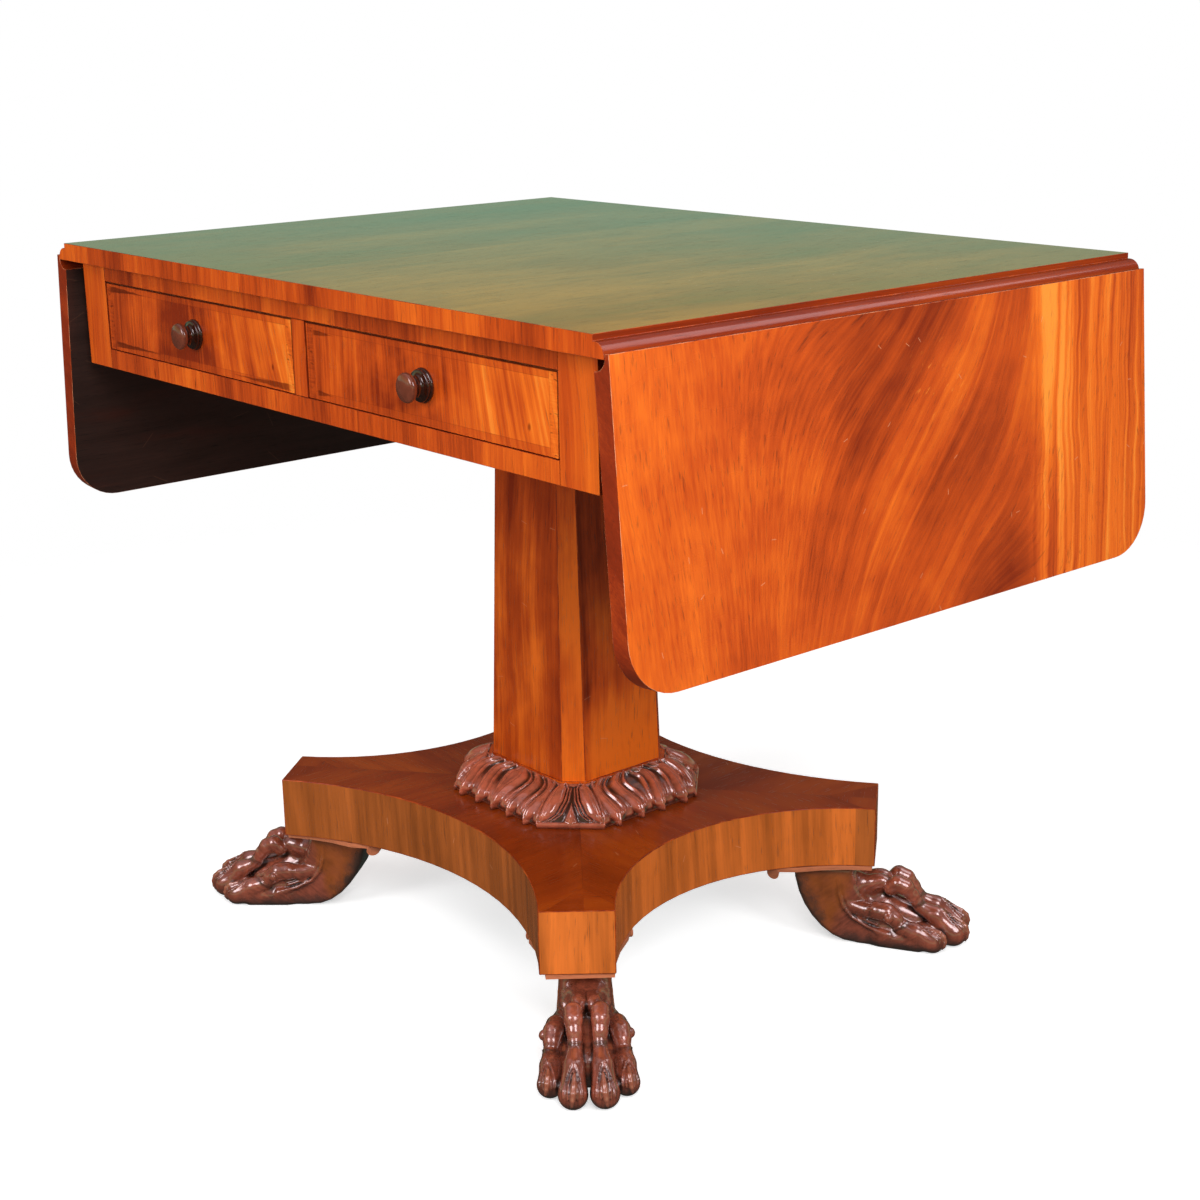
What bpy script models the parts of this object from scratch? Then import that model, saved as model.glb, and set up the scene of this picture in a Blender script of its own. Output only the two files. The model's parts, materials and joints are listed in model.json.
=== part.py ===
"""Drop-leaf pedestal table with two frieze drawers, as an assembly of separate pieces.

Metres, +Z up. The origin is on the floor under the middle of the table. The drawers face -Y, and the
two leaves hang at the -X and +X sides on rule joints.
"""
import math

import bmesh
import bpy
from mathutils import Vector

# Clearances
FIT_GAP = 0.0003
RULE_JOINT_GAP = 0.0005
DRAWER_GAP = 0.0008
BRACKET_TOP_GAP = 0.0015

# Bed and leaves
TABLE_HEIGHT = 0.726
TOP_DEPTH = 0.660
BED_WIDTH = 0.861
TOP_THICKNESS = 0.018
FILLET_HEIGHT = 0.0052
QUIRK_WIDTH = 0.0022
OVOLO_RADIUS = 0.011
LEAF_LENGTH = 0.2677
LEAF_CORNER_RADIUS = 0.048
LEAF_LEAN_DEGREES = 4.6

# Rule-joint hinges
HINGE_END_INSET = 0.068
HINGE_WIDTH = 0.036
HINGE_PLATE_THICKNESS = 0.002
HINGE_BED_LENGTH = 0.032
HINGE_LEAF_LENGTH = 0.062
KNUCKLE_RADIUS = 0.0028
HINGE_PIN_RADIUS = 0.0013

# Frieze
FRIEZE_HEIGHT = 0.109
FRIEZE_END_OVERHANG = 0.0112
FRIEZE_FRONT_OVERHANG = 0.0141
FRONT_THICKNESS = 0.022
TOP_RAIL_HEIGHT = 0.0177
BOTTOM_RAIL_HEIGHT = 0.020
END_STILE_WIDTH = 0.0473
CENTRE_STILE_WIDTH = 0.0214
RUNNER_WIDTH = 0.025
CENTRE_RUNNER_WIDTH = 0.070
BEARER_WIDTH = 0.150
BEARER_THICKNESS = 0.009

# Fly brackets
FLY_THICKNESS = 0.022
FLY_HEIGHT = 0.072
FLY_BLOCK_LENGTH = 0.100
FLY_TIP_SPACE = 0.064
FLY_TIP_HEIGHT = 0.030
FLY_TIP_RADIUS = 0.034
FLY_PIN_RADIUS = 0.003

# Drawers
DRAWER_SETBACK = 0.001
DRAWER_FRONT_THICKNESS = 0.020
DRAWER_SIDE_THICKNESS = 0.009
DRAWER_REAR_SPACE = 0.100
DRAWER_TOP_SPACE = 0.003
DRAWER_BOTTOM_THICKNESS = 0.006
DRAWER_GROOVE_HEIGHT = 0.007
DRAWER_GROOVE_DEPTH = 0.004
DOVETAIL_COUNT = 3
DOVETAIL_LAP = 0.013
DOVETAIL_SLOPE = 0.17
DOVETAIL_SHARE = 0.56

# Turned knobs
KNOB_ROSE_RADIUS = 0.0152
KNOB_ROSE_THICKNESS = 0.006
KNOB_NECK_RADIUS = 0.0085
KNOB_NECK_LENGTH = 0.007
KNOB_HEAD_RADIUS = 0.0131
KNOB_HEAD_THICKNESS = 0.009
KNOB_DOME_HEIGHT = 0.002
KNOB_STEM_RADIUS = 0.005

# Column and collar
COLUMN_FOOT_WIDTH = 0.1504
COLUMN_FOOT_DEPTH = 0.1368
COLUMN_FOOT_CANT_WIDTH = 0.0175
COLUMN_HEAD_WIDTH = 0.1194
COLUMN_HEAD_DEPTH = 0.116
COLUMN_HEAD_CANT_WIDTH = 0.0125
COLUMN_LIP_WIDTH = 0.004
COLUMN_LIP_HEIGHT = 0.005
COLLAR_WIDTH = 0.0405
COLLAR_HEIGHT = 0.030
COLLAR_FOOT_HEIGHT = 0.004
COLLAR_CANT_GROWTH = 0.81
# Swell of the collar from foot to head, in shares of its width and of its rise
COLLAR_SWELL = ((1, 0), (0.93, 0.30), (0.72, 0.62), (0.42, 0.82), (0.22, 0.88), (0.10, 1))

# Platform
PLATFORM_THICKNESS = 0.065
PLATFORM_WIDTH = 0.5374
PLATFORM_DEPTH = 0.4668
ARM_CUT_WIDTH = 0.0464
ARM_CUT_DEPTH = 0.0554
WAIST_WIDTH = 0.364
WAIST_DEPTH = 0.314

# Feet
FOOT_SKEW_DEGREES = -1.26
FOOT_HEIGHT = 0.085
FOOT_LENGTH = 0.187
FOOT_HEEL_INSET = 0.0852
LEG_WIDTH = 0.052
LEG_EDGE_RADIUS = 0.007
TOE_SPACING = 0.029
TOE_PAD_LENGTH = 0.075
TOE_PAD_HEIGHT = 0.052
TOE_PAD_TILT_DEGREES = 14
OUTER_TOE_OFFSET = 0.0345
OUTER_TOE_SETBACK = 0.018
OUTER_TOE_LIFT_SHARE = 0.60
OUTER_TOE_ROOT_SHARE = 0.55
OUTER_PAD_LENGTH = 0.062
OUTER_PAD_WIDTH = 0.025
OUTER_PAD_HEIGHT = 0.043
OUTER_PAD_TILT_DEGREES = 12
OUTER_PAD_SPLAY_DEGREES = 8
PAD_SINK_DEPTH = 0.002
SIDE_BALL_RADIUS = 0.0065
# Side view of the foot in shares of its length and height; the third share of a toe's bone is its setback
HEEL_LINE = ((0, 1), (0.04, 0.72), (0.09, 0.44), (0.17, 0.21), (0.29, 0.06), (0.42, 0))
SOLE_END = (0.72, 0)
HOLLOW_LINE = ((0.76, 0.30), (0.62, 0.37), (0.49, 0.42), (0.40, 0.55), (0.345, 0.76), (0.337, 1))
TOE_BONE = ((0.27, 0.70, 0.0), (0.40, 0.64, 0.2), (0.47, 0.68, 0.4), (0.555, 0.78, 0.7), (0.60, 0.79, 0.8),
            (0.66, 0.67, 0.9), (0.72, 0.50, 1.0), (0.80, 0.38, 1.0))
TOE_BONE_WIDTHS = (0.50, 0.48, 0.52, 0.62, 0.66, 0.58, 0.55, 0.60)
PAD_ALONG_SHARE = 0.80
SIDE_BALL_PLACE = (0.64, 0.49)
FOOT_PLATE_THICKNESS = 0.005
FOOT_PLATE_LENGTH = 0.1017
FOOT_PLATE_INSET = 0.002
FOOT_PLATE_ROLL_RADIUS = 0.0065

# Facets of round shapes
ARC_STEPS = 10
ROUND_STEPS = 16
KNOB_STEPS = 24
PLATE_STEPS = 4

# Heights from the floor up
PLATE_BOTTOM = FOOT_HEIGHT + FIT_GAP
PLATFORM_BOTTOM = PLATE_BOTTOM + FOOT_PLATE_THICKNESS + FIT_GAP
PLATFORM_TOP = PLATFORM_BOTTOM + PLATFORM_THICKNESS
COLUMN_BOTTOM = PLATFORM_TOP + FIT_GAP
COLLAR_TOP = COLUMN_BOTTOM + COLLAR_HEIGHT
TOP_UNDERSIDE = TABLE_HEIGHT - TOP_THICKNESS
FRAME_TOP = TOP_UNDERSIDE - FIT_GAP
FRIEZE_BOTTOM = TOP_UNDERSIDE - FRIEZE_HEIGHT
COLUMN_TOP = FRIEZE_BOTTOM - FIT_GAP
OPENING_BOTTOM = FRIEZE_BOTTOM + BOTTOM_RAIL_HEIGHT
OPENING_TOP = FRAME_TOP - TOP_RAIL_HEIGHT
OPENING_HEIGHT = OPENING_TOP - OPENING_BOTTOM

# Rule joint: the pin is the centre of the ovolo
PIN_DEPTH = FILLET_HEIGHT + OVOLO_RADIUS
PIN_HEIGHT = TABLE_HEIGHT - PIN_DEPTH
PIN_X = BED_WIDTH / 2 + QUIRK_WIDTH
PIN_ABOVE_UNDERSIDE = TOP_THICKNESS - PIN_DEPTH
HINGE_Y = TOP_DEPTH / 2 - HINGE_END_INSET
HANG_ANGLE = math.radians(90 - LEAF_LEAN_DEGREES)

# Frieze box in plan
FRIEZE_X = BED_WIDTH / 2 - FRIEZE_END_OVERHANG
FRIEZE_Y = TOP_DEPTH / 2 - FRIEZE_FRONT_OVERHANG
INSIDE_Y = FRIEZE_Y - FRONT_THICKNESS
OPENING_X = FRIEZE_X - END_STILE_WIDTH
OPENING_WIDTH = OPENING_X - CENTRE_STILE_WIDTH / 2
FLY_INNER_X = FRIEZE_X - FLY_THICKNESS
SIDE_RAIL_OUTER_X = FLY_INNER_X - FIT_GAP

# Fly brackets
FLY_TOP = TOP_UNDERSIDE - BRACKET_TOP_GAP
FLY_PIVOT_X = FRIEZE_X - FLY_THICKNESS / 2
FLY_PIVOT_Y = FLY_BLOCK_LENGTH / 2
FLY_BRACKET_LENGTH = INSIDE_Y - FLY_PIVOT_Y - FLY_TIP_SPACE
FLY_FINGER = FLY_HEIGHT / 3

# Drawers
DRAWER_WIDTH = OPENING_WIDTH - 2 * DRAWER_GAP
DRAWER_HEIGHT = OPENING_HEIGHT - 2 * DRAWER_GAP
DRAWER_BASE = OPENING_BOTTOM + DRAWER_GAP
DRAWER_FACE_Y = -FRIEZE_Y + DRAWER_SETBACK
DRAWER_BOX_Y = DRAWER_FACE_Y + DRAWER_FRONT_THICKNESS
DRAWER_BOX_LENGTH = INSIDE_Y - DRAWER_REAR_SPACE - DRAWER_BOX_Y
DRAWER_SIDE_HEIGHT = DRAWER_HEIGHT - DRAWER_TOP_SPACE
DRAWER_INNER_HALF = DRAWER_WIDTH / 2 - DRAWER_SIDE_THICKNESS

# Feet in plan: each foot follows the middle of its arm's end, turned a little towards the table's length
ARM_END = Vector((PLATFORM_WIDTH / 2 - ARM_CUT_WIDTH / 2, PLATFORM_DEPTH / 2 - ARM_CUT_DEPTH / 2))
FOOT_ANGLE = math.atan2(ARM_END.y, ARM_END.x) + math.radians(FOOT_SKEW_DEGREES)
FOOT_DIRECTION = Vector((math.cos(FOOT_ANGLE), math.sin(FOOT_ANGLE)))
ARM_REACH = ARM_END.dot(FOOT_DIRECTION)
FOOT_HEEL_DISTANCE = ARM_REACH - FOOT_HEEL_INSET
PLATE_END = ARM_REACH - FOOT_PLATE_INSET
PLATE_START = PLATE_END - FOOT_PLATE_LENGTH

# Colours (linear) of the finishes
POLISHED_RED = (0.42, 0.105, 0.022, 1)
POLISHED_ORANGE = (0.56, 0.16, 0.03, 1)
CARVED_DARK = (0.16, 0.035, 0.018, 1)
KNOB_DARK = (0.06, 0.022, 0.015, 1)
PLATE_PINK = (0.5, 0.2, 0.13, 1)
PLAIN_WOOD = (0.36, 0.22, 0.11, 1)
BRASS = (0.6, 0.42, 0.16, 1)

for leftover in list(bpy.data.objects):
    bpy.data.objects.remove(leftover, do_unlink=True)

parts = bpy.data.collections.new("drop_leaf_pedestal_table")
cutters = bpy.data.collections.new("cutters")
bpy.context.scene.collection.children.link(parts)
bpy.context.scene.collection.children.link(cutters)


# Helpers


def finish(name, colour, roughness=0.3, metallic=0.0):
    """A material with one colour, roughness and metallic value."""
    made = bpy.data.materials.new(name)
    made.use_nodes = True
    shader = made.node_tree.nodes["Principled BSDF"]
    shader.inputs["Base Color"].default_value = colour
    shader.inputs["Roughness"].default_value = roughness
    shader.inputs["Metallic"].default_value = metallic
    return made


def add_part(name, mesh, colour, location=(0, 0, 0), rotation=(0, 0, 0), parent=None, **look):
    """Put a mesh in the assembly as a named sub-part with its own material."""
    part = bpy.data.objects.new(name, mesh)
    part.location = location
    part.rotation_euler = rotation
    part.parent = parent
    mesh.materials.clear()
    mesh.materials.append(finish(name, colour, **look))
    parts.objects.link(part)
    return part


def add_cutter(name, mesh, location=(0, 0, 0), rotation=(0, 0, 0), parent=None):
    """A helper solid that cuts or joins a sub-part and isn't one itself."""
    helper = bpy.data.objects.new(name, mesh)
    helper.location = location
    helper.rotation_euler = rotation
    helper.parent = parent
    helper.hide_render = True
    helper.display_type = "WIRE"
    cutters.objects.link(helper)
    return helper


def joint_empty(name, location, rotation=(0, 0, 0)):
    """The frame of a moving body, on its joint's axis."""
    empty = bpy.data.objects.new(name, None)
    empty.location = location
    empty.rotation_euler = rotation
    parts.objects.link(empty)
    return empty


def boolean(target, helper, operation):
    """Cut, join or trim a sub-part with a helper solid."""
    modifier = target.modifiers.new(operation.lower() + "_" + helper.name, "BOOLEAN")
    modifier.operation = operation
    modifier.object = helper
    return modifier


def box_mesh(name, size):
    """A box centred on its origin."""
    shape = bmesh.new()
    bmesh.ops.create_cube(shape, size=1.0)
    bmesh.ops.scale(shape, vec=Vector(size), verts=shape.verts)
    return to_mesh(name, shape)


def box_part(name, low, high, colour, parent=None, origin=(0, 0, 0), **look):
    """A box between two corners, as a sub-part; the corners are given from the parent's origin."""
    size = [b - a for a, b in zip(low, high)]
    middle = [(a + b) / 2 - o for a, b, o in zip(low, high, origin)]
    return add_part(name, box_mesh(name, size), colour, middle, parent=parent, **look)


def box_cutter(name, low, high, parent=None):
    """A box between two corners, as a helper solid."""
    size = [b - a for a, b in zip(low, high)]
    middle = [(a + b) / 2 for a, b in zip(low, high)]
    return add_cutter(name, box_mesh(name, size), middle, parent=parent)


def cylinder_mesh(name, radius, length, steps=ROUND_STEPS):
    """A cylinder along Z, centred on its origin."""
    shape = bmesh.new()
    bmesh.ops.create_cone(shape, cap_ends=True, segments=steps, radius1=radius, radius2=radius,
                          depth=length)
    return to_mesh(name, shape)


def ellipsoid_mesh(name, radii, steps=12, rings=8):
    """An ellipsoid centred on its origin."""
    shape = bmesh.new()
    bmesh.ops.create_uvsphere(shape, u_segments=steps, v_segments=rings, radius=1.0)
    bmesh.ops.scale(shape, vec=Vector(radii), verts=shape.verts)
    return to_mesh(name, shape)


def to_mesh(name, shape):
    """Turn a bmesh into a mesh with its faces pointing out."""
    bmesh.ops.recalc_face_normals(shape, faces=shape.faces)
    mesh = bpy.data.meshes.new(name)
    shape.to_mesh(mesh)
    shape.free()
    return mesh


def evaluated_mesh(source):
    """The mesh of an object with its modifiers or bevel applied, with loose caps welded."""
    bpy.context.view_layer.update()
    depsgraph = bpy.context.evaluated_depsgraph_get()
    mesh = bpy.data.meshes.new_from_object(source.evaluated_get(depsgraph))
    shape = bmesh.new()
    shape.from_mesh(mesh)
    bmesh.ops.remove_doubles(shape, verts=shape.verts, dist=1e-6)
    bpy.data.meshes.remove(mesh)
    return to_mesh(source.name, shape)


def curve_mesh(name, curve):
    """The mesh of a curve, with the curve object removed afterwards."""
    drawn = bpy.data.objects.new(name, curve)
    cutters.objects.link(drawn)
    mesh = evaluated_mesh(drawn)
    bpy.data.objects.remove(drawn)
    return mesh


def outline_mesh(name, outlines, thickness):
    """Flat outlines in local XY, made solid by half the thickness to each side."""
    curve = bpy.data.curves.new(name, "CURVE")
    curve.dimensions = "2D"
    curve.fill_mode = "BOTH"
    curve.extrude = thickness / 2
    for outline in outlines:
        spline = curve.splines.new("POLY")
        spline.points.add(len(outline) - 1)
        for point, (x, y) in zip(spline.points, outline):
            point.co = (x, y, 0, 1)
        spline.use_cyclic_u = True
    return curve_mesh(name, curve)


def tube_mesh(name, path, radii):
    """A round tube along a path, with its own radius at each point."""
    curve = bpy.data.curves.new(name, "CURVE")
    curve.dimensions = "3D"
    curve.bevel_depth = 1.0
    curve.bevel_resolution = 2
    curve.use_fill_caps = True
    spline = curve.splines.new("POLY")
    spline.points.add(len(path) - 1)
    for point, place, radius in zip(spline.points, path, radii):
        point.co = (*place, 1)
        point.radius = radius
    return curve_mesh(name, curve)


def arc(centre, radius, start_degrees, end_degrees, steps=ARC_STEPS):
    """Points along an arc, both ends included."""
    sweep = end_degrees - start_degrees
    angles = [math.radians(start_degrees + sweep * i / steps) for i in range(steps + 1)]
    return [(centre[0] + radius * math.cos(a), centre[1] + radius * math.sin(a)) for a in angles]


def smooth(points, steps=3):
    """A smooth chain through the given points, ends included."""
    padded = [points[0], *points, points[-1]]
    chain = []
    for before, start, end, after in zip(padded, padded[1:], padded[2:], padded[3:]):
        for i in range(steps):
            t = i / steps
            chain.append(tuple(
                0.5 * (2 * q + (r - p) * t + (2 * p - 5 * q + 4 * r - s) * t ** 2
                       + (3 * q - p - 3 * r + s) * t ** 3)
                for p, q, r, s in zip(before, start, end, after)))
    chain.append(tuple(points[-1]))
    return chain


def loft_mesh(name, rings):
    """Join rings of equal length into one closed solid, with both ends capped."""
    shape = bmesh.new()
    rows = [[shape.verts.new(point) for point in ring] for ring in rings]
    count = len(rows[0])
    for lower, upper in zip(rows, rows[1:]):
        for i in range(count):
            j = (i + 1) % count
            shape.faces.new((lower[i], lower[j], upper[j], upper[i]))
    shape.faces.new(rows[0])
    shape.faces.new(rows[-1])
    return to_mesh(name, shape)


UPRIGHT = (math.pi / 2, 0, 0)
SIDES = (("right", 1), ("left", -1))
ENDS = (("front", -1), ("rear", 1))


# Bed


def rule_edge():
    """Bed edge at +X, from the top surface to the underside: fillet, quirk and ovolo."""
    end_angle = -math.degrees(math.asin(PIN_ABOVE_UNDERSIDE / OVOLO_RADIUS))
    edge = [(BED_WIDTH / 2, TABLE_HEIGHT), (BED_WIDTH / 2, TABLE_HEIGHT - FILLET_HEIGHT)]
    return edge + arc((PIN_X, PIN_HEIGHT), OVOLO_RADIUS, 90, end_angle)


def build_bed():
    """The fixed middle of the top, with pockets for the hinges in its underside."""
    right = rule_edge()
    left = [(-x, z) for x, z in reversed(right)]
    bed = add_part("table_top", outline_mesh("table_top", [right + left], TOP_DEPTH), POLISHED_RED,
                   rotation=UPRIGHT, roughness=0.12)
    pocket_top = -PIN_ABOVE_UNDERSIDE + HINGE_PLATE_THICKNESS + FIT_GAP
    for side, sign in SIDES:
        turned = 0 if sign > 0 else math.pi
        frame = joint_empty("bed_hinge_line_" + side, (sign * PIN_X, 0, PIN_HEIGHT), (0, 0, turned))
        for end, along in ENDS:
            tag = end + "_" + side
            y = sign * along * HINGE_Y
            half = HINGE_WIDTH / 2 + FIT_GAP
            low = (-HINGE_BED_LENGTH - FIT_GAP, y - half, -TOP_THICKNESS)
            high = (2 * OVOLO_RADIUS, y + half, pocket_top)
            boolean(bed, box_cutter("bed_pocket_" + tag, low, high, frame), "DIFFERENCE")
            groove = cylinder_mesh("bed_groove_" + tag, KNUCKLE_RADIUS + RULE_JOINT_GAP, 2 * half)
            boolean(bed, add_cutter("bed_groove_" + tag, groove, (0, y, 0), UPRIGHT, frame), "DIFFERENCE")
            build_bed_plate(tag, frame, y)


# Hinges


def build_bed_plate(tag, frame, y):
    """Hinge plate in the bed's underside, with the middle knuckle."""
    name = "hinge_bed_plate_" + tag
    bottom = -PIN_ABOVE_UNDERSIDE
    top = bottom + HINGE_PLATE_THICKNESS
    third = HINGE_WIDTH / 3
    inner = -KNUCKLE_RADIUS - RULE_JOINT_GAP
    plate = box_part(name, (-HINGE_BED_LENGTH, y - HINGE_WIDTH / 2, bottom),
                     (inner, y + HINGE_WIDTH / 2, top), BRASS, frame, roughness=0.4, metallic=1.0)
    half = third / 2 - FIT_GAP
    tongue = box_cutter("tongue_" + name, (2 * inner, y - half, bottom), (0, y + half, top), frame)
    boolean(plate, tongue, "UNION")
    knuckle = cylinder_mesh("knuckle_" + name, KNUCKLE_RADIUS, 2 * half)
    boolean(plate, add_cutter("knuckle_" + name, knuckle, (0, y, 0), UPRIGHT, frame), "UNION")
    bore = cylinder_mesh("bore_" + name, HINGE_PIN_RADIUS + FIT_GAP, HINGE_WIDTH)
    boolean(plate, add_cutter("bore_" + name, bore, (0, y, 0), UPRIGHT, frame), "DIFFERENCE")


def build_leaf_plate(tag, frame, y):
    """Hinge plate in the leaf's underside, with the two outer knuckles and the riveted pin."""
    name = "hinge_leaf_plate_" + tag
    bottom = -PIN_ABOVE_UNDERSIDE
    top = bottom + HINGE_PLATE_THICKNESS
    third = HINGE_WIDTH / 3
    inner = KNUCKLE_RADIUS + RULE_JOINT_GAP
    plate = box_part(name, (inner, y - HINGE_WIDTH / 2, bottom),
                     (HINGE_LEAF_LENGTH, y + HINGE_WIDTH / 2, top), BRASS, frame, roughness=0.4, metallic=1.0)
    for number, offset in ((1, -third), (2, third)):
        start = y + offset - third / 2
        tongue = box_cutter("tongue_%d_%s" % (number, name), (0, start, bottom),
                            (2 * inner, start + third, top), frame)
        boolean(plate, tongue, "UNION")
        label = "eye_%d_%s" % (number, name)
        eye = cylinder_mesh(label, KNUCKLE_RADIUS, third)
        boolean(plate, add_cutter(label, eye, (0, y + offset, 0), UPRIGHT, frame), "UNION")
    pin = cylinder_mesh("pin_" + name, HINGE_PIN_RADIUS, HINGE_WIDTH - third)
    boolean(plate, add_cutter("pin_" + name, pin, (0, y, 0), UPRIGHT, frame), "UNION")


# Leaves


def leaf_section():
    """Section of a level leaf from its pin: lip and cove, then the flat board."""
    cove = OVOLO_RADIUS + RULE_JOINT_GAP
    lip = -QUIRK_WIDTH + RULE_JOINT_GAP
    outer = lip + LEAF_LENGTH
    start_angle = -math.degrees(math.asin(PIN_ABOVE_UNDERSIDE / cove))
    board = [(lip, PIN_DEPTH), (outer, PIN_DEPTH), (outer, -PIN_ABOVE_UNDERSIDE)]
    return board + arc((0, 0), cove, start_angle, 90) + [(lip, cove)]


def leaf_plan():
    """Plan of a level leaf from its pin, with rounded outer corners."""
    inner = -2 * OVOLO_RADIUS
    outer = -QUIRK_WIDTH + RULE_JOINT_GAP + LEAF_LENGTH
    half = TOP_DEPTH / 2
    radius = LEAF_CORNER_RADIUS
    corners = arc((outer - radius, radius - half), radius, -90, 0)
    corners += arc((outer - radius, half - radius), radius, 0, 90)
    return [(inner, -half)] + corners + [(inner, half)]


def build_leaf(side, sign):
    """A leaf hanging from its hinge pins."""
    turned = 0 if sign > 0 else math.pi
    frame = joint_empty("leaf_hinge_" + side, (sign * PIN_X, 0, PIN_HEIGHT), (0, HANG_ANGLE, turned))
    name = "leaf_" + side
    board = outline_mesh(name, [leaf_section()], TOP_DEPTH + 2 * LEAF_CORNER_RADIUS)
    leaf = add_part(name, board, POLISHED_ORANGE, rotation=UPRIGHT, parent=frame, roughness=0.15)
    plan = outline_mesh("plan_" + name, [leaf_plan()], 4 * TOP_THICKNESS)
    boolean(leaf, add_cutter("plan_" + name, plan, parent=frame), "INTERSECT")
    for end, along in ENDS:
        tag = end + "_" + side
        y = sign * along * HINGE_Y
        half = HINGE_WIDTH / 2 + FIT_GAP
        pocket_top = -PIN_ABOVE_UNDERSIDE + HINGE_PLATE_THICKNESS + FIT_GAP
        low = (KNUCKLE_RADIUS, y - half, -TOP_THICKNESS)
        high = (HINGE_LEAF_LENGTH + FIT_GAP, y + half, pocket_top)
        boolean(leaf, box_cutter("leaf_pocket_" + tag, low, high, frame), "DIFFERENCE")
        build_leaf_plate(tag, frame, y)


# Frieze


def build_frieze():
    """Front rails and stiles, rear and side rails, runners, guide and the bearer for the column."""
    front = (-FRIEZE_Y, -INSIDE_Y)
    between = OPENING_X - FIT_GAP
    box_part("front_top_rail", (-between, front[0], OPENING_TOP), (between, front[1], FRAME_TOP),
             POLISHED_RED)
    box_part("front_bottom_rail", (-between, front[0], FRIEZE_BOTTOM), (between, front[1], OPENING_BOTTOM),
             POLISHED_RED)
    half = CENTRE_STILE_WIDTH / 2
    box_part("centre_stile", (-half, front[0], OPENING_BOTTOM + FIT_GAP),
             (half, front[1], OPENING_TOP - FIT_GAP), POLISHED_RED)
    box_part("rear_rail", (-FRIEZE_X, INSIDE_Y, FRIEZE_BOTTOM), (FRIEZE_X, FRIEZE_Y, FRAME_TOP),
             POLISHED_RED)
    inside = INSIDE_Y - FIT_GAP
    runner_bottom = FRIEZE_BOTTOM + BEARER_THICKNESS + FIT_GAP
    for side, sign in SIDES:
        low, high = sorted((sign * OPENING_X, sign * FRIEZE_X))
        box_part("end_stile_" + side, (low, front[0], FRIEZE_BOTTOM), (high, front[1], FRAME_TOP),
                 POLISHED_RED)
        low, high = sorted((sign * OPENING_X, sign * SIDE_RAIL_OUTER_X))
        box_part("side_rail_" + side, (low, -inside, FRIEZE_BOTTOM), (high, inside, FRAME_TOP), PLAIN_WOOD,
                 roughness=0.6)
        low, high = sorted((sign * (OPENING_X - FIT_GAP), sign * (OPENING_X - RUNNER_WIDTH)))
        box_part("runner_" + side, (low, -inside, runner_bottom), (high, inside, OPENING_BOTTOM), PLAIN_WOOD,
                 roughness=0.6)
    half = CENTRE_RUNNER_WIDTH / 2
    box_part("runner_centre", (-half, -inside, runner_bottom), (half, inside, OPENING_BOTTOM), PLAIN_WOOD,
             roughness=0.6)
    half = CENTRE_STILE_WIDTH / 2
    guide_top = OPENING_BOTTOM + OPENING_HEIGHT / 2
    box_part("drawer_guide", (-half, -inside, OPENING_BOTTOM + FIT_GAP), (half, inside, guide_top),
             PLAIN_WOOD, roughness=0.6)
    reach = OPENING_X - FIT_GAP
    half = BEARER_WIDTH / 2
    box_part("pedestal_bearer", (-reach, -half, FRIEZE_BOTTOM),
             (reach, half, FRIEZE_BOTTOM + BEARER_THICKNESS), PLAIN_WOOD, roughness=0.6)


# Fly brackets


def finger_cut(target, tag, x, y, bottom, height):
    """Clear a round seat for the other piece's finger around a bracket pin."""
    cut = cylinder_mesh("seat_" + tag, FLY_THICKNESS / 2 + FIT_GAP, height + 2 * FIT_GAP)
    boolean(target, add_cutter("seat_" + tag, cut, (x, y, bottom + height / 2)), "DIFFERENCE")


def bracket_outline():
    """Side of a bracket from its pin: straight top, a hollow under the tip for the fingers."""
    length = FLY_BRACKET_LENGTH
    tip_start = length - FLY_TIP_RADIUS
    hollow_end = FLY_HEIGHT - FLY_TIP_HEIGHT
    hollow = arc((length, 0), FLY_TIP_RADIUS, 180, 90)
    scale = hollow_end / FLY_TIP_RADIUS
    hollow = [(x, z * scale) for x, z in hollow]
    return [(0, FLY_HEIGHT), (0, 0), (tip_start - FLY_TIP_RADIUS, 0)] + hollow + [(length, FLY_HEIGHT)]


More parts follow.
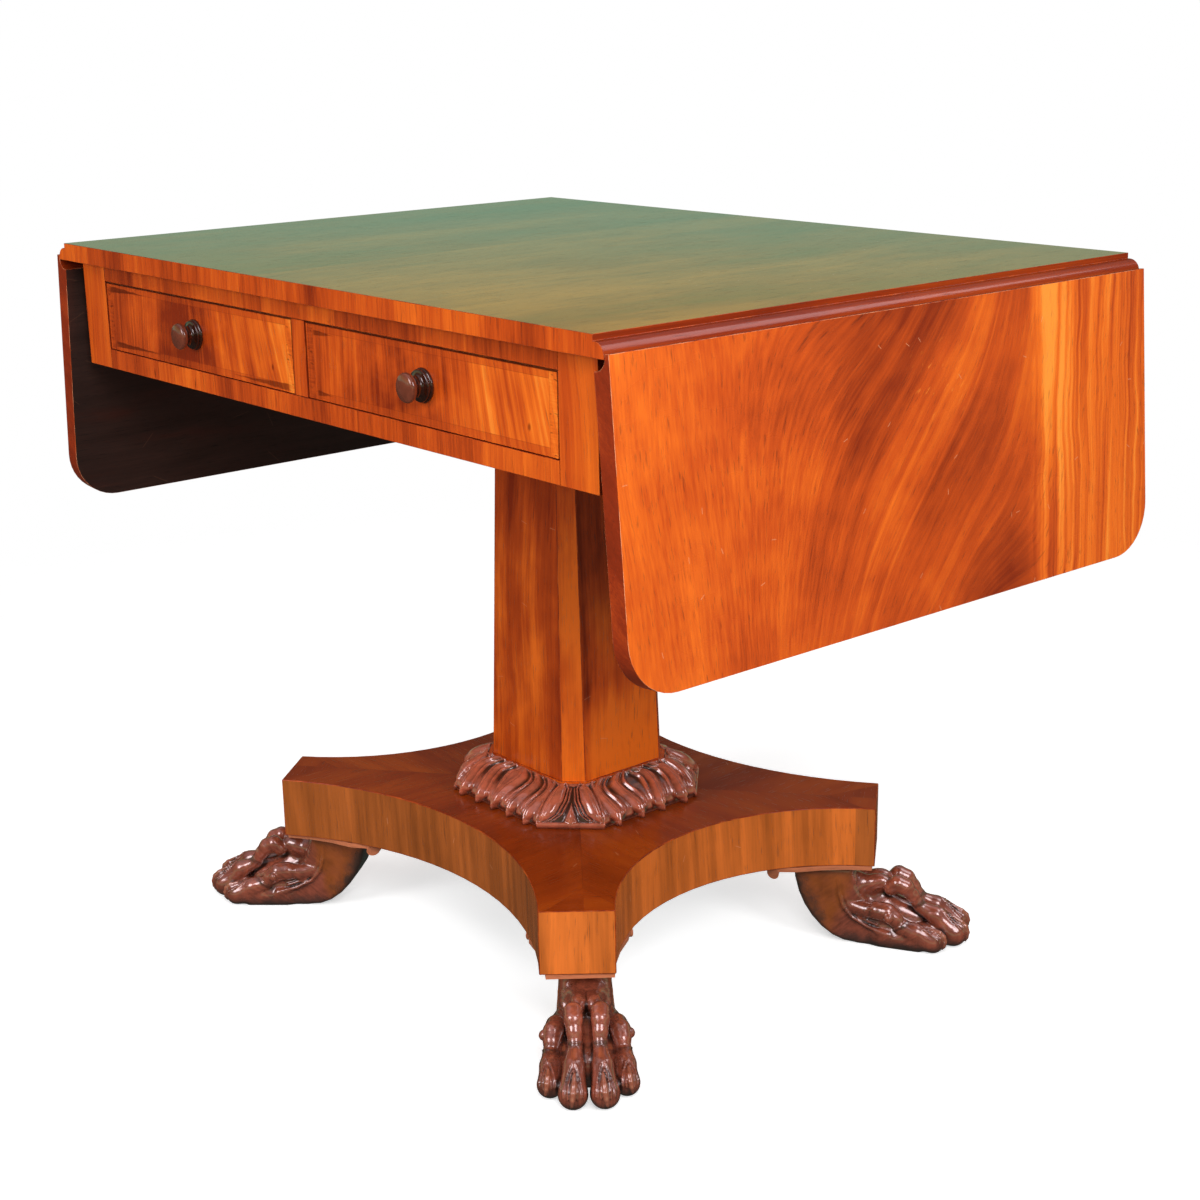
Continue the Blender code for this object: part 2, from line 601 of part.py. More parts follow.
def build_fly_side(side, sign):
    """The fixed block and the two swinging brackets of one side, on their pins."""
    x = sign * FLY_PIVOT_X
    bottom = FLY_TOP - FLY_HEIGHT
    half = FLY_THICKNESS / 2
    middle_height = bottom + FLY_HEIGHT / 2
    block = box_part("fly_block_" + side, (x - half, -FLY_PIVOT_Y, bottom),
                     (x + half, FLY_PIVOT_Y, FLY_TOP), PLAIN_WOOD, roughness=0.5)
    for end, along in ENDS:
        tag = end + "_" + side
        y = along * FLY_PIVOT_Y
        frame = joint_empty("bracket_pivot_" + tag, (x, y, bottom))
        name = "fly_bracket_" + tag
        turn = (math.pi / 2, 0, along * math.pi / 2)
        bracket = add_part(name, outline_mesh(name, [bracket_outline()], FLY_THICKNESS), PLAIN_WOOD,
                           rotation=turn, parent=frame, roughness=0.5)
        knuckle = cylinder_mesh("knuckle_" + tag, half, FLY_HEIGHT)
        boolean(bracket, add_cutter("knuckle_" + tag, knuckle, (x, y, middle_height)), "UNION")
        finger_cut(bracket, "bracket_" + tag, x, y, bottom + FLY_FINGER, FLY_FINGER)
        finger_cut(block, "low_" + tag, x, y, bottom - FIT_GAP, FLY_FINGER + FIT_GAP)
        finger_cut(block, "high_" + tag, x, y, FLY_TOP - FLY_FINGER, FLY_FINGER + FIT_GAP)
        middle = cylinder_mesh("finger_" + tag, half, FLY_FINGER - 2 * FIT_GAP)
        boolean(block, add_cutter("finger_" + tag, middle, (x, y, middle_height)), "UNION")
        bore = cylinder_mesh("bore_" + tag, FLY_PIN_RADIUS + FIT_GAP, 2 * FLY_HEIGHT)
        bored = add_cutter("bore_" + tag, bore, (x, y, middle_height))
        boolean(bracket, bored, "DIFFERENCE")
        boolean(block, bored, "DIFFERENCE")
        add_part("fly_pin_" + tag, cylinder_mesh("fly_pin_" + tag, FLY_PIN_RADIUS, FLY_HEIGHT), BRASS,
                 (x, y, middle_height), roughness=0.4, metallic=1.0)


# Drawers


def tails(gap):
    """Dovetails at the front end of a drawer side, in length and height, grown by a gap."""
    pitch = DRAWER_SIDE_HEIGHT / DOVETAIL_COUNT
    root = pitch * DOVETAIL_SHARE / 2 + gap
    tip = root + DOVETAIL_LAP * DOVETAIL_SLOPE
    shapes = []
    for number in range(DOVETAIL_COUNT):
        middle = pitch * (number + 0.5)
        shapes.append([(0, middle - root), (0, middle + root),
                       (-DOVETAIL_LAP - gap, middle + tip), (-DOVETAIL_LAP - gap, middle - tip)])
    return shapes


def side_outline():
    """Outline of a drawer side in length and height, with its tails at the front end."""
    outline = []
    for root_low, root_high, tip_high, tip_low in tails(0):
        outline += [root_low, tip_low, tip_high, root_high]
    return [(0, 0)] + outline + [(0, DRAWER_SIDE_HEIGHT), (DRAWER_BOX_LENGTH, DRAWER_SIDE_HEIGHT),
                                 (DRAWER_BOX_LENGTH, 0)]


def knob_profile():
    """Turned outline of a knob from the middle of its face to the end of its stem."""
    rose_end = KNOB_ROSE_THICKNESS
    neck_end = rose_end + KNOB_NECK_LENGTH
    head_end = neck_end + KNOB_HEAD_THICKNESS
    edge = KNOB_HEAD_THICKNESS / 3
    rim = KNOB_ROSE_THICKNESS / 4
    head = [(0, head_end), (KNOB_HEAD_RADIUS / 2, head_end - KNOB_DOME_HEIGHT / 3),
            (KNOB_HEAD_RADIUS - edge / 2, head_end - KNOB_DOME_HEIGHT),
            (KNOB_HEAD_RADIUS, head_end - KNOB_DOME_HEIGHT - edge / 2),
            (KNOB_HEAD_RADIUS, neck_end + edge), (KNOB_HEAD_RADIUS - edge, neck_end)]
    neck = [(KNOB_NECK_RADIUS, neck_end - rim), (KNOB_NECK_RADIUS, rose_end + rim)]
    rose = [(KNOB_ROSE_RADIUS - 2 * rim, rose_end), (KNOB_ROSE_RADIUS, rose_end - rim), (KNOB_ROSE_RADIUS, 0)]
    stem_end = -DRAWER_FRONT_THICKNESS - FIT_GAP
    stem = [(KNOB_STEM_RADIUS, 0), (KNOB_STEM_RADIUS, stem_end), (0, stem_end)]
    return head + neck + rose + stem


def turned_mesh(name, profile):
    """A profile in radius and height, turned round Z."""
    mesh = bpy.data.meshes.new(name)
    mesh.from_pydata([(r, 0, z) for r, z in profile], [(i, i + 1) for i in range(len(profile) - 1)], [])
    blank = add_cutter("blank_" + name, mesh)
    screw = blank.modifiers.new("turn", "SCREW")
    screw.steps = KNOB_STEPS
    screw.render_steps = KNOB_STEPS
    screw.use_merge_vertices = True
    screw.merge_threshold = 0.00001
    turned = evaluated_mesh(blank)
    bpy.data.objects.remove(blank)
    return turned


def build_drawer(side, sign):
    """A dovetailed drawer with a turned knob; its frame slides along Y."""
    centre = sign * (CENTRE_STILE_WIDTH + OPENING_WIDTH) / 2
    origin = (centre, DRAWER_FACE_Y, DRAWER_BASE)
    frame = joint_empty("drawer_slide_" + side, origin)
    name = "drawer_%s_" % side
    half = DRAWER_WIDTH / 2
    box_y = DRAWER_FRONT_THICKNESS
    front = box_part(name + "front", (-half, 0, 0), (half, box_y, DRAWER_HEIGHT), POLISHED_ORANGE, frame,
                     roughness=0.2)
    groove_low = DRAWER_GROOVE_HEIGHT
    groove_high = groove_low + DRAWER_BOTTOM_THICKNESS + 2 * FIT_GAP
    inner = DRAWER_INNER_HALF
    slot = box_cutter(name + "front_slot", (-inner, box_y - DRAWER_GROOVE_DEPTH, groove_low),
                      (inner, 2 * box_y, groove_high), frame)
    boolean(front, slot, "DIFFERENCE")
    for hand, way in (("inner", -sign), ("outer", sign)):
        plank = outline_mesh(name + hand, [side_outline()], DRAWER_SIDE_THICKNESS)
        x = way * (half - DRAWER_SIDE_THICKNESS / 2)
        turn = (math.pi / 2, 0, math.pi / 2)
        board = add_part(name + "side_" + hand, plank, PLAIN_WOOD, (x, box_y + FIT_GAP, 0), turn, frame,
                         roughness=0.6)
        low, high = sorted((way * (inner - FIT_GAP), way * (inner + DRAWER_GROOVE_DEPTH)))
        slot = box_cutter(name + "slot_" + hand, (low, box_y, groove_low),
                          (high, 2 * DRAWER_BOX_LENGTH, groove_high), frame)
        boolean(board, slot, "DIFFERENCE")
        label = name + "sockets_" + hand
        sockets = outline_mesh(label, tails(FIT_GAP), 2 * (DRAWER_SIDE_THICKNESS + FIT_GAP))
        sunk = add_cutter(label, sockets, (way * half, box_y + FIT_GAP, 0), turn, frame)
        boolean(front, sunk, "DIFFERENCE")
    end_y = box_y + FIT_GAP + DRAWER_BOX_LENGTH
    box_part(name + "back", (-inner + FIT_GAP, end_y - DRAWER_SIDE_THICKNESS, groove_high),
             (inner - FIT_GAP, end_y, DRAWER_SIDE_HEIGHT), PLAIN_WOOD, frame, roughness=0.6)
    tongue = DRAWER_GROOVE_DEPTH - FIT_GAP
    board_y = box_y + 2 * FIT_GAP
    wide = inner + tongue
    narrow = inner - FIT_GAP
    plan = [(-narrow, box_y - tongue), (narrow, box_y - tongue), (narrow, board_y), (wide, board_y),
            (wide, end_y), (-wide, end_y), (-wide, board_y), (-narrow, board_y)]
    add_part(name + "bottom", outline_mesh(name + "bottom", [plan], DRAWER_BOTTOM_THICKNESS), PLAIN_WOOD,
             (0, 0, groove_low + FIT_GAP + DRAWER_BOTTOM_THICKNESS / 2), parent=frame, roughness=0.6)
    middle = (0, -FIT_GAP, DRAWER_HEIGHT / 2)
    add_part(name + "knob", turned_mesh(name + "knob", knob_profile()), KNOB_DARK, middle, UPRIGHT, frame,
             roughness=0.15)
    hole = cylinder_mesh(name + "knob_hole", KNOB_STEM_RADIUS + FIT_GAP, 4 * box_y)
    boolean(front, add_cutter(name + "knob_hole", hole, middle, UPRIGHT, frame), "DIFFERENCE")


# Column and collar


def canted_ring(half_x, half_y, cant, z):
    """Corners of a rectangle with canted corners at one height, counter-clockwise from +X."""
    return [(half_x, cant - half_y, z), (half_x, half_y - cant, z), (half_x - cant, half_y, z),
            (cant - half_x, half_y, z), (-half_x, half_y - cant, z), (-half_x, cant - half_y, z),
            (cant - half_x, -half_y, z), (half_x - cant, -half_y, z)]


def build_column():
    """The tapering column with its foot lip."""
    lip_x = COLUMN_FOOT_WIDTH / 2 + COLUMN_LIP_WIDTH
    lip_y = COLUMN_FOOT_DEPTH / 2 + COLUMN_LIP_WIDTH
    lip_top = COLLAR_TOP + COLUMN_LIP_HEIGHT
    rings = [canted_ring(lip_x, lip_y, COLUMN_FOOT_CANT_WIDTH, COLUMN_BOTTOM),
             canted_ring(lip_x, lip_y, COLUMN_FOOT_CANT_WIDTH, lip_top),
             canted_ring(COLUMN_FOOT_WIDTH / 2, COLUMN_FOOT_DEPTH / 2, COLUMN_FOOT_CANT_WIDTH, lip_top),
             canted_ring(COLUMN_HEAD_WIDTH / 2, COLUMN_HEAD_DEPTH / 2, COLUMN_HEAD_CANT_WIDTH, COLUMN_TOP)]
    add_part("pedestal_column", loft_mesh("pedestal_column", rings), POLISHED_ORANGE, roughness=0.2)


def collar_profile():
    """Ogee of the collar as distance from the column and height, from its foot to its head."""
    rise = COLLAR_HEIGHT - COLLAR_FOOT_HEIGHT
    swell = [(out * COLLAR_WIDTH, COLLAR_FOOT_HEIGHT + up * rise) for out, up in COLLAR_SWELL]
    return [(0, 0), (COLLAR_WIDTH, 0)] + smooth(swell, 2) + [(0, COLLAR_HEIGHT)]


def collar_ring(offset, z):
    """Corners of the collar at a distance from the column's foot."""
    half_x = COLUMN_FOOT_WIDTH / 2 + COLUMN_LIP_WIDTH + FIT_GAP + offset
    half_y = COLUMN_FOOT_DEPTH / 2 + COLUMN_LIP_WIDTH + FIT_GAP + offset
    return canted_ring(half_x, half_y, COLUMN_FOOT_CANT_WIDTH + COLLAR_CANT_GROWTH * offset, z)


def build_collar():
    """Four mitred mouldings round the column's foot, joined in the middle of the canted corners."""
    rings = []
    for offset, z in collar_profile():
        rings.append([Vector(corner) for corner in collar_ring(offset, COLUMN_BOTTOM + z)])
    for name, first in (("right", 0), ("rear", 2), ("left", 4), ("front", 6)):
        stations = [[], [], [], []]
        for ring in rings:
            before, start, end, after = (ring[(first + i) % 8] for i in (-1, 0, 1, 2))
            joint = (start - before).normalized() * FIT_GAP / 2
            stations[0].append((before + start) / 2 + joint)
            stations[1].append(start)
            stations[2].append(end)
            joint = (end - after).normalized() * FIT_GAP / 2
            stations[3].append((end + after) / 2 + joint)
        node = "collar_" + name
        add_part(node, loft_mesh(node, stations), CARVED_DARK, roughness=0.2)


# Platform


def hollow_side(half_chord, edge, waist):
    """Points of a hollow side from one arm to the next: an arc through its ends and its waist."""
    depth = edge - waist
    radius = (half_chord ** 2 + depth ** 2) / (2 * depth)
    centre = waist + radius
    reach = math.degrees(math.asin(half_chord / radius))
    return arc((centre, 0), radius, 180 + reach, 180 - reach, 2 * ARC_STEPS)


def platform_outline():
    """Plan of the platform: four cut-off arms and four hollow sides."""
    half_x = PLATFORM_WIDTH / 2
    half_y = PLATFORM_DEPTH / 2
    right = hollow_side(half_y - ARM_CUT_DEPTH, half_x, WAIST_WIDTH / 2)
    rear = [(-y, x) for x, y in hollow_side(half_x - ARM_CUT_WIDTH, half_y, WAIST_DEPTH / 2)]
    left = [(-x, -y) for x, y in right]
    front = [(-x, -y) for x, y in rear]
    return right + rear + left + front


def build_platform():
    """The platform under the column."""
    add_part("platform", outline_mesh("platform", [platform_outline()], PLATFORM_THICKNESS), POLISHED_ORANGE,
             (0, 0, PLATFORM_BOTTOM + PLATFORM_THICKNESS / 2), roughness=0.2)


# Feet


def foot_point(along, up):
    """A point of the foot's side view, from shares of its length and height."""
    return (FOOT_HEEL_DISTANCE + along * FOOT_LENGTH, up * FOOT_HEIGHT)


def leg_outline():
    """Side of the leg: the sweeping heel, the flat sole, and the hollow in front of the leg."""
    heel = smooth([foot_point(*share) for share in HEEL_LINE])
    hollow = smooth([foot_point(*share) for share in HOLLOW_LINE])
    return heel + [foot_point(*SOLE_END)] + hollow


def toe_path(offset, root, setback, lift):
    """Path of a toe's upper bone: out of the leg, up to the knuckle and down to the pad."""
    path = []
    for along, up, share in TOE_BONE:
        s, z = foot_point(along, up * lift)
        path.append((s - setback * share, offset * (root + (1 - root) * share), z))
    return path


def toe_helpers(name, offset, path, radii, pad_size, pad_place, pad_turn):
    """The bone and the pad of one toe, as helper solids."""
    bone = add_cutter("bone_" + name, tube_mesh("bone_" + name, path, radii))
    pad = ellipsoid_mesh("pad_" + name, [size / 2 for size in pad_size])
    place = (pad_place, offset, pad_size[2] / 2 - PAD_SINK_DEPTH)
    return [bone, add_cutter("pad_" + name, pad, place, pad_turn)]


def paw_mesh():
    """A paw foot pointing along +X from the table's axis, with a flat sole on the floor."""
    leg = add_cutter("leg", outline_mesh("leg", [leg_outline()], LEG_WIDTH), rotation=UPRIGHT)
    rounding = leg.modifiers.new("round", "BEVEL")
    rounding.width = LEG_EDGE_RADIUS
    rounding.segments = 2
    rounding.limit_method = "ANGLE"
    rounding.angle_limit = math.radians(60)
    helpers = []
    radii = [TOE_SPACING / 2 * share for share in TOE_BONE_WIDTHS]
    pad_place = foot_point(PAD_ALONG_SHARE, 0)[0]
    pad_size = (TOE_PAD_LENGTH, TOE_SPACING, TOE_PAD_HEIGHT)
    pad_turn = (0, math.radians(TOE_PAD_TILT_DEGREES), 0)
    outer_size = (OUTER_PAD_LENGTH, OUTER_PAD_WIDTH, OUTER_PAD_HEIGHT)
    for side, way in SIDES:
        offset = way * TOE_SPACING / 2
        helpers += toe_helpers("middle_" + side, offset, toe_path(offset, 1, 0, 1), radii, pad_size,
                               pad_place, pad_turn)
        offset = way * OUTER_TOE_OFFSET
        path = toe_path(offset, OUTER_TOE_ROOT_SHARE, OUTER_TOE_SETBACK, OUTER_TOE_LIFT_SHARE)
        turn = (0, math.radians(OUTER_PAD_TILT_DEGREES), way * math.radians(OUTER_PAD_SPLAY_DEGREES))
        helpers += toe_helpers("outer_" + side, offset, path, radii, outer_size,
                               pad_place - OUTER_TOE_SETBACK, turn)
        ball = ellipsoid_mesh("ball_" + side, [SIDE_BALL_RADIUS] * 3)
        s, z = foot_point(*SIDE_BALL_PLACE)
        place = (s - OUTER_TOE_SETBACK, way * (OUTER_TOE_OFFSET + SIDE_BALL_RADIUS / 3), z)
        helpers.append(add_cutter("ball_" + side, ball, place))
    for helper in helpers:
        boolean(leg, helper, "UNION")
    reach = FOOT_HEEL_DISTANCE + 2 * FOOT_LENGTH
    floor = box_cutter("floor", (0, -FOOT_LENGTH, -FOOT_HEIGHT), (reach, FOOT_LENGTH, 0))
    boolean(leg, floor, "DIFFERENCE")
    bpy.context.view_layer.update()
    mesh = evaluated_mesh(leg)
    mesh.transform(leg.matrix_world)
    for helper in (leg, floor, *helpers):
        bpy.data.objects.remove(helper)
    return mesh


def arm_half_width(distance):
    """Half the width of the platform's arm at a distance from the axis, along the foot's direction."""
    across = Vector((-FOOT_DIRECTION.y, FOOT_DIRECTION.x))
    widths = []
    for half_chord, edge, waist, axis in (
            (PLATFORM_DEPTH / 2 - ARM_CUT_DEPTH, PLATFORM_WIDTH / 2, WAIST_WIDTH / 2, Vector((1, 0))),
            (PLATFORM_WIDTH / 2 - ARM_CUT_WIDTH, PLATFORM_DEPTH / 2, WAIST_DEPTH / 2, Vector((0, 1)))):
        depth = edge - waist
        radius = (half_chord ** 2 + depth ** 2) / (2 * depth)
        offset = FOOT_DIRECTION * distance - axis * (waist + radius)
        along = abs(offset.dot(across))
        widths.append(along - math.sqrt(along ** 2 - offset.length_squared + radius ** 2))
    return min(widths)


def plate_mesh():
    """The plate between an arm and its foot, tapering outward, with a rolled inner end."""
    edge = []
    for i in range(PLATE_STEPS + 1):
        distance = PLATE_START + FOOT_PLATE_LENGTH * i / PLATE_STEPS
        edge.append((distance, arm_half_width(distance) - FOOT_PLATE_INSET))
    plan = edge + [(s, -half) for s, half in reversed(edge)]
    blank = add_cutter("plate", outline_mesh("plate", [plan], FOOT_PLATE_THICKNESS))
    roll = cylinder_mesh("roll", FOOT_PLATE_ROLL_RADIUS, 2 * edge[0][1])
    drop = FOOT_PLATE_THICKNESS / 2 - FOOT_PLATE_ROLL_RADIUS
    helper = add_cutter("roll", roll, (PLATE_START, 0, drop), UPRIGHT)
    boolean(blank, helper, "UNION")
    mesh = evaluated_mesh(blank)
    bpy.data.objects.remove(blank)
    bpy.data.objects.remove(helper)
    return mesh


def build_feet():
    """Four plates and four paws, turned about the table's axis."""
    paw = paw_mesh()
    plate = plate_mesh()
    for end, along in ENDS:
        for side, sign in SIDES:
            tag = end + "_" + side
            turn = (0, 0, math.atan2(along * FOOT_DIRECTION.y, sign * FOOT_DIRECTION.x))
            height = PLATE_BOTTOM + FOOT_PLATE_THICKNESS / 2
            add_part("foot_plate_" + tag, plate.copy(), PLATE_PINK, (0, 0, height), turn)
            add_part("paw_foot_" + tag, paw.copy(), CARVED_DARK, rotation=turn, roughness=0.2)


build_bed()
build_frieze()
for side_name, side_sign in SIDES:
    build_leaf(side_name, side_sign)
    build_fly_side(side_name, side_sign)
    build_drawer(side_name, side_sign)
build_column()
build_collar()
build_platform()
build_feet()
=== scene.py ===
"""Finishes and carving for a drop-leaf pedestal table in polished mahogany.

The solids are loaded, each operator dresses one group of pieces, and the stage adds floor, light and camera.
"""

import json
import math

import bmesh
import bpy
import numpy as np
from mathutils import Matrix, Vector


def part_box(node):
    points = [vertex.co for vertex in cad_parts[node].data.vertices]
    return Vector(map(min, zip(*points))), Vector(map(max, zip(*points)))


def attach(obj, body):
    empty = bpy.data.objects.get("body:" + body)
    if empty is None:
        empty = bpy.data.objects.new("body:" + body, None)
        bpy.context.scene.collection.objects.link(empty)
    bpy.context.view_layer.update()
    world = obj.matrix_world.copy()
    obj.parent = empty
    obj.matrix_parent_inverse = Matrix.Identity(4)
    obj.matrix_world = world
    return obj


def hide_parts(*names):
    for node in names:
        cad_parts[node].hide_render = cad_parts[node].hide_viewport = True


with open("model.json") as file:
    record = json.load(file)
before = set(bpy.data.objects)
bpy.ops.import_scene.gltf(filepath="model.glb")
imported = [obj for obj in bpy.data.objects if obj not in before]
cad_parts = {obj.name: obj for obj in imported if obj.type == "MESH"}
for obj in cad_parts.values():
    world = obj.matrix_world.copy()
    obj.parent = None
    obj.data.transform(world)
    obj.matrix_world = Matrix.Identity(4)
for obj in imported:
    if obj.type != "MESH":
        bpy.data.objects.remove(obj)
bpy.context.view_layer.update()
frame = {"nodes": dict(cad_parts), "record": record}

bl_info = {
    "name": "Drop-leaf pedestal table",
    "version": (1, 0, 0),
    "blender": (4, 5, 0),
    "location": "View3D > Sidebar > Table",
    "description": "Dresses the solids of a drop-leaf pedestal table",
    "category": "Object",
}

BODY_OF = {node: body for body, nodes in frame["record"]["behaviour"]["bodies"].items() for node in nodes}
SIDES = ("left", "right")
CORNERS = ("front_left", "front_right", "rear_left", "rear_right")
# Cosine and sine, in plan, of the way that a foot points
FOOT_DIRECTION = (0.7804, 0.6252)
LEAF_LEAN = math.radians(4.6)
FULL_TURN = 6.283


# Finishes


class Tone:
    """A value in a node tree; arithmetic on it adds Math nodes."""

    def __init__(self, nodes, socket):
        self.nodes = nodes
        self.socket = socket

    def maths(self, operation, *terms):
        return self.nodes.node("ShaderNodeMath", {"operation": operation}, dict(enumerate(terms)))

    def __add__(self, other):
        return self.maths("ADD", self, other)

    def __radd__(self, other):
        return self.maths("ADD", other, self)

    def __sub__(self, other):
        return self.maths("SUBTRACT", self, other)

    def __rsub__(self, other):
        return self.maths("SUBTRACT", other, self)

    def __mul__(self, other):
        return self.maths("MULTIPLY", self, other)

    def __rmul__(self, other):
        return self.maths("MULTIPLY", other, self)

    def __truediv__(self, other):
        return self.maths("DIVIDE", self, other)

    def __abs__(self):
        return self.maths("ABSOLUTE", self)

    def above(self, edge):
        return self.maths("GREATER_THAN", self, edge)

    def below(self, edge):
        return self.maths("LESS_THAN", self, edge)

    def floor(self):
        return self.maths("FLOOR", self)

    def fraction(self):
        return self.maths("FRACT", self)

    def sine(self):
        return self.maths("SINE", self)

    def cosine(self):
        return self.maths("COSINE", self)

    def larger(self, other):
        return self.maths("MAXIMUM", self, other)

    def over(self, low, high, start=0.0, end=1.0):
        """Eased from start, at low, to end, at high; low may be the greater of the two."""
        if low > high:
            low, high, start, end = high, low, end, start
        settings = {"interpolation_type": "SMOOTHSTEP"}
        return self.nodes.node("ShaderNodeMapRange", settings, {0: self, 1: low, 2: high, 3: start, 4: end})

    def near(self, place, reach):
        """1 at a place, easing to 0 at a distance from it."""
        return abs(self - place).over(reach, 0.0)

    def other(self, output):
        """Another output of the same node."""
        return Tone(self.nodes, self.socket.node.outputs[output])


class Nodes:
    """A node tree, and the one way that nodes are added to it."""

    def __init__(self, tree):
        self.tree = tree

    def node(self, kind, settings=None, sockets=None, out=0):
        """A node's output; the settings are made first, then the values or links of the sockets."""
        made = self.tree.nodes.new(kind)
        for setting, value in (settings or {}).items():
            if setting == "stops":
                self.set_stops(made.color_ramp.elements, value)
            else:
                setattr(made, setting, value)
        for name, value in (sockets or {}).items():
            self.feed(made.inputs[name], value)
        return Tone(self, made.outputs[out]) if len(made.outputs) else None

    def set_stops(self, elements, stops):
        """Colours at places along a ramp, the first at 0 and the last at 1."""
        elements[0].color, elements[-1].color = (*stops[0][1], 1.0), (*stops[-1][1], 1.0)
        for place, colour in stops[1:-1]:
            elements.new(place).color = (*colour, 1.0)

    def feed(self, socket, value):
        if isinstance(value, Tone):
            self.tree.links.new(value.socket, socket)
        elif socket.type == "RGBA" and len(value) == 3:
            socket.default_value = (*value, 1.0)
        else:
            socket.default_value = value


class Finish(Nodes):
    """A material and the nodes that give it colour, gloss and relief."""

    def __init__(self, name):
        self.material = bpy.data.materials.new(name)
        self.material.use_nodes = True
        super().__init__(self.material.node_tree)
        self.shader = next(node for node in self.tree.nodes if node.type == "BSDF_PRINCIPLED")
        self.x, self.y, self.z = self.split(self.node("ShaderNodeTexCoord", out="Object"))

    def split(self, vector):
        first = self.node("ShaderNodeSeparateXYZ", {}, {0: vector})
        return first, first.other(1), first.other(2)

    def vector(self, x, y, z):
        return self.node("ShaderNodeCombineXYZ", {}, {0: x, 1: y, 2: z})

    def length(self, x, y):
        vector = self.vector(x, y, 0.0)
        return self.node("ShaderNodeVectorMath", {"operation": "LENGTH"}, {0: vector}, "Value")

    def noise(self, x, y, z, detail=3.0):
        sockets = {"Vector": self.vector(x, y, z), "Scale": 1.0, "Detail": detail, "Roughness": 0.55}
        return self.node("ShaderNodeTexNoise", {}, sockets)

    def ripple(self, x, y, z, detail=3.0):
        """Noise about 0."""
        return self.noise(x, y, z, detail) - 0.5

    def chance(self, value):
        """A steady random number for each whole value."""
        return self.node("ShaderNodeTexWhiteNoise", {"noise_dimensions": "1D"}, {"W": value}, "Value")

    def ramp(self, tone, *colours):
        """Evenly spaced colours along a tone."""
        stops = [(number / (len(colours) - 1), colour) for number, colour in enumerate(colours)]
        return self.node("ShaderNodeValToRGB", {"stops": stops}, {0: tone})

    def mix(self, share, first, second):
        settings = {"data_type": "RGBA", "clamp_factor": True}
        return self.node("ShaderNodeMix", settings, {0: share, 6: first, 7: second}, 2)

    def shaded(self, colour, amount):
        """A colour darkened where the amount, up to 1, is high."""
        return self.mix(amount, colour, (0.0, 0.0, 0.0))

    def marked(self, name, out="Fac"):
        """What a mesh keeps with its points under a name."""
        return self.node("ShaderNodeAttribute", {"attribute_name": name}, {}, out)

    def surface(self, colour, roughness, relief=None, depth=0.0, **constants):
        """The finished material; depth is how far a relief of 1 stands out, in metres."""
        self.feed(self.shader.inputs["Base Color"], colour)
        self.feed(self.shader.inputs["Roughness"], roughness)
        for name, value in constants.items():
            self.shader.inputs[name.replace("_", " ")].default_value = value
        if relief is not None:
            sockets = {"Strength": 1.0, "Distance": depth, "Height": relief}
            self.feed(self.shader.inputs["Normal"], self.node("ShaderNodeBump", {}, sockets))
        return self.material


def scale_tone(colour, amount):
    return tuple(channel * amount for channel in colour)


def shades(colour, *amounts):
    return [scale_tone(colour, amount) for amount in amounts]


def figure(f, across, along, depth, seed, ribbon, flame, broad=1.5):
    """Tone of figured mahogany from about 0 to 1, its pores, and its fine lines about 0."""
    sway = f.ripple(across * 3.1 + seed, along * 1.7, depth * 3.1, 2.0)
    bent = across + sway * 0.07
    cloud = f.ripple(bent * 12 + seed, along * 2.2, depth * 12)
    stripe = f.ripple(bent * 95, along * 2.6 + seed, depth * 45, 4.0)
    curl = f.ripple(bent * 30 + seed, along * 15 + sway * 7, depth * 30)
    tone = cloud * broad + stripe * ribbon + curl * flame + 0.5
    pores = f.noise(bent * 680, along * 42 + seed, depth * 680, 2.0).over(0.58, 0.74)
    fine = f.ripple(bent * 430, along * 9 + seed, depth * 430, 2.0)
    return tone, pores, fine


def dashes(f, across, along, cell, length, width, share):
    """Short scratches lying every way, one in a share of the cells."""
    across, along = across / cell, along / cell
    sockets = {"Vector": f.vector(across, along, 0.0), "Scale": 1.0, "Randomness": 1.0}
    spot = f.node("ShaderNodeTexVoronoi", {"voronoi_dimensions": "2D"}, sockets, "Position")
    middle_across, middle_along, _ = f.split(spot)
    turn, chosen, _ = f.split(spot.other("Color"))
    angle = turn * FULL_TURN
    cosine, sine = angle.cosine(), angle.sine()
    off_across, off_along = across - middle_across, along - middle_along
    run = abs(off_across * cosine + off_along * sine).over(length / cell, 0.7 * length / cell)
    aside = abs(off_along * cosine - off_across * sine).over(width / cell, 0.0)
    return run * aside * chosen.below(share)


def polished(f, tone, pores, fine, colours, roughness, marks=(), gloss=0.0):
    """Mahogany under old polish, with marks as a list of (share, colour)."""
    colour = f.ramp(tone + fine * 0.55, *colours)
    colour = f.shaded(colour, pores * 0.4)
    for share, mark in marks:
        colour = f.mix(share, colour, mark)
    bloom = f.ripple(f.x * 8, f.y * 8, f.z * 8, 4.0)
    smear = f.ripple(f.x * 45, f.y * 12, f.z * 45, 2.0)
    shine = roughness + bloom * 0.12 + smear * 0.05 + pores * 0.12
    relief = pores * -0.6 + fine * 0.3 + bloom * 0.8
    return f.surface(colour, shine, relief, 0.00007, Coat_Weight=gloss, Coat_Roughness=0.07, IOR=1.48)


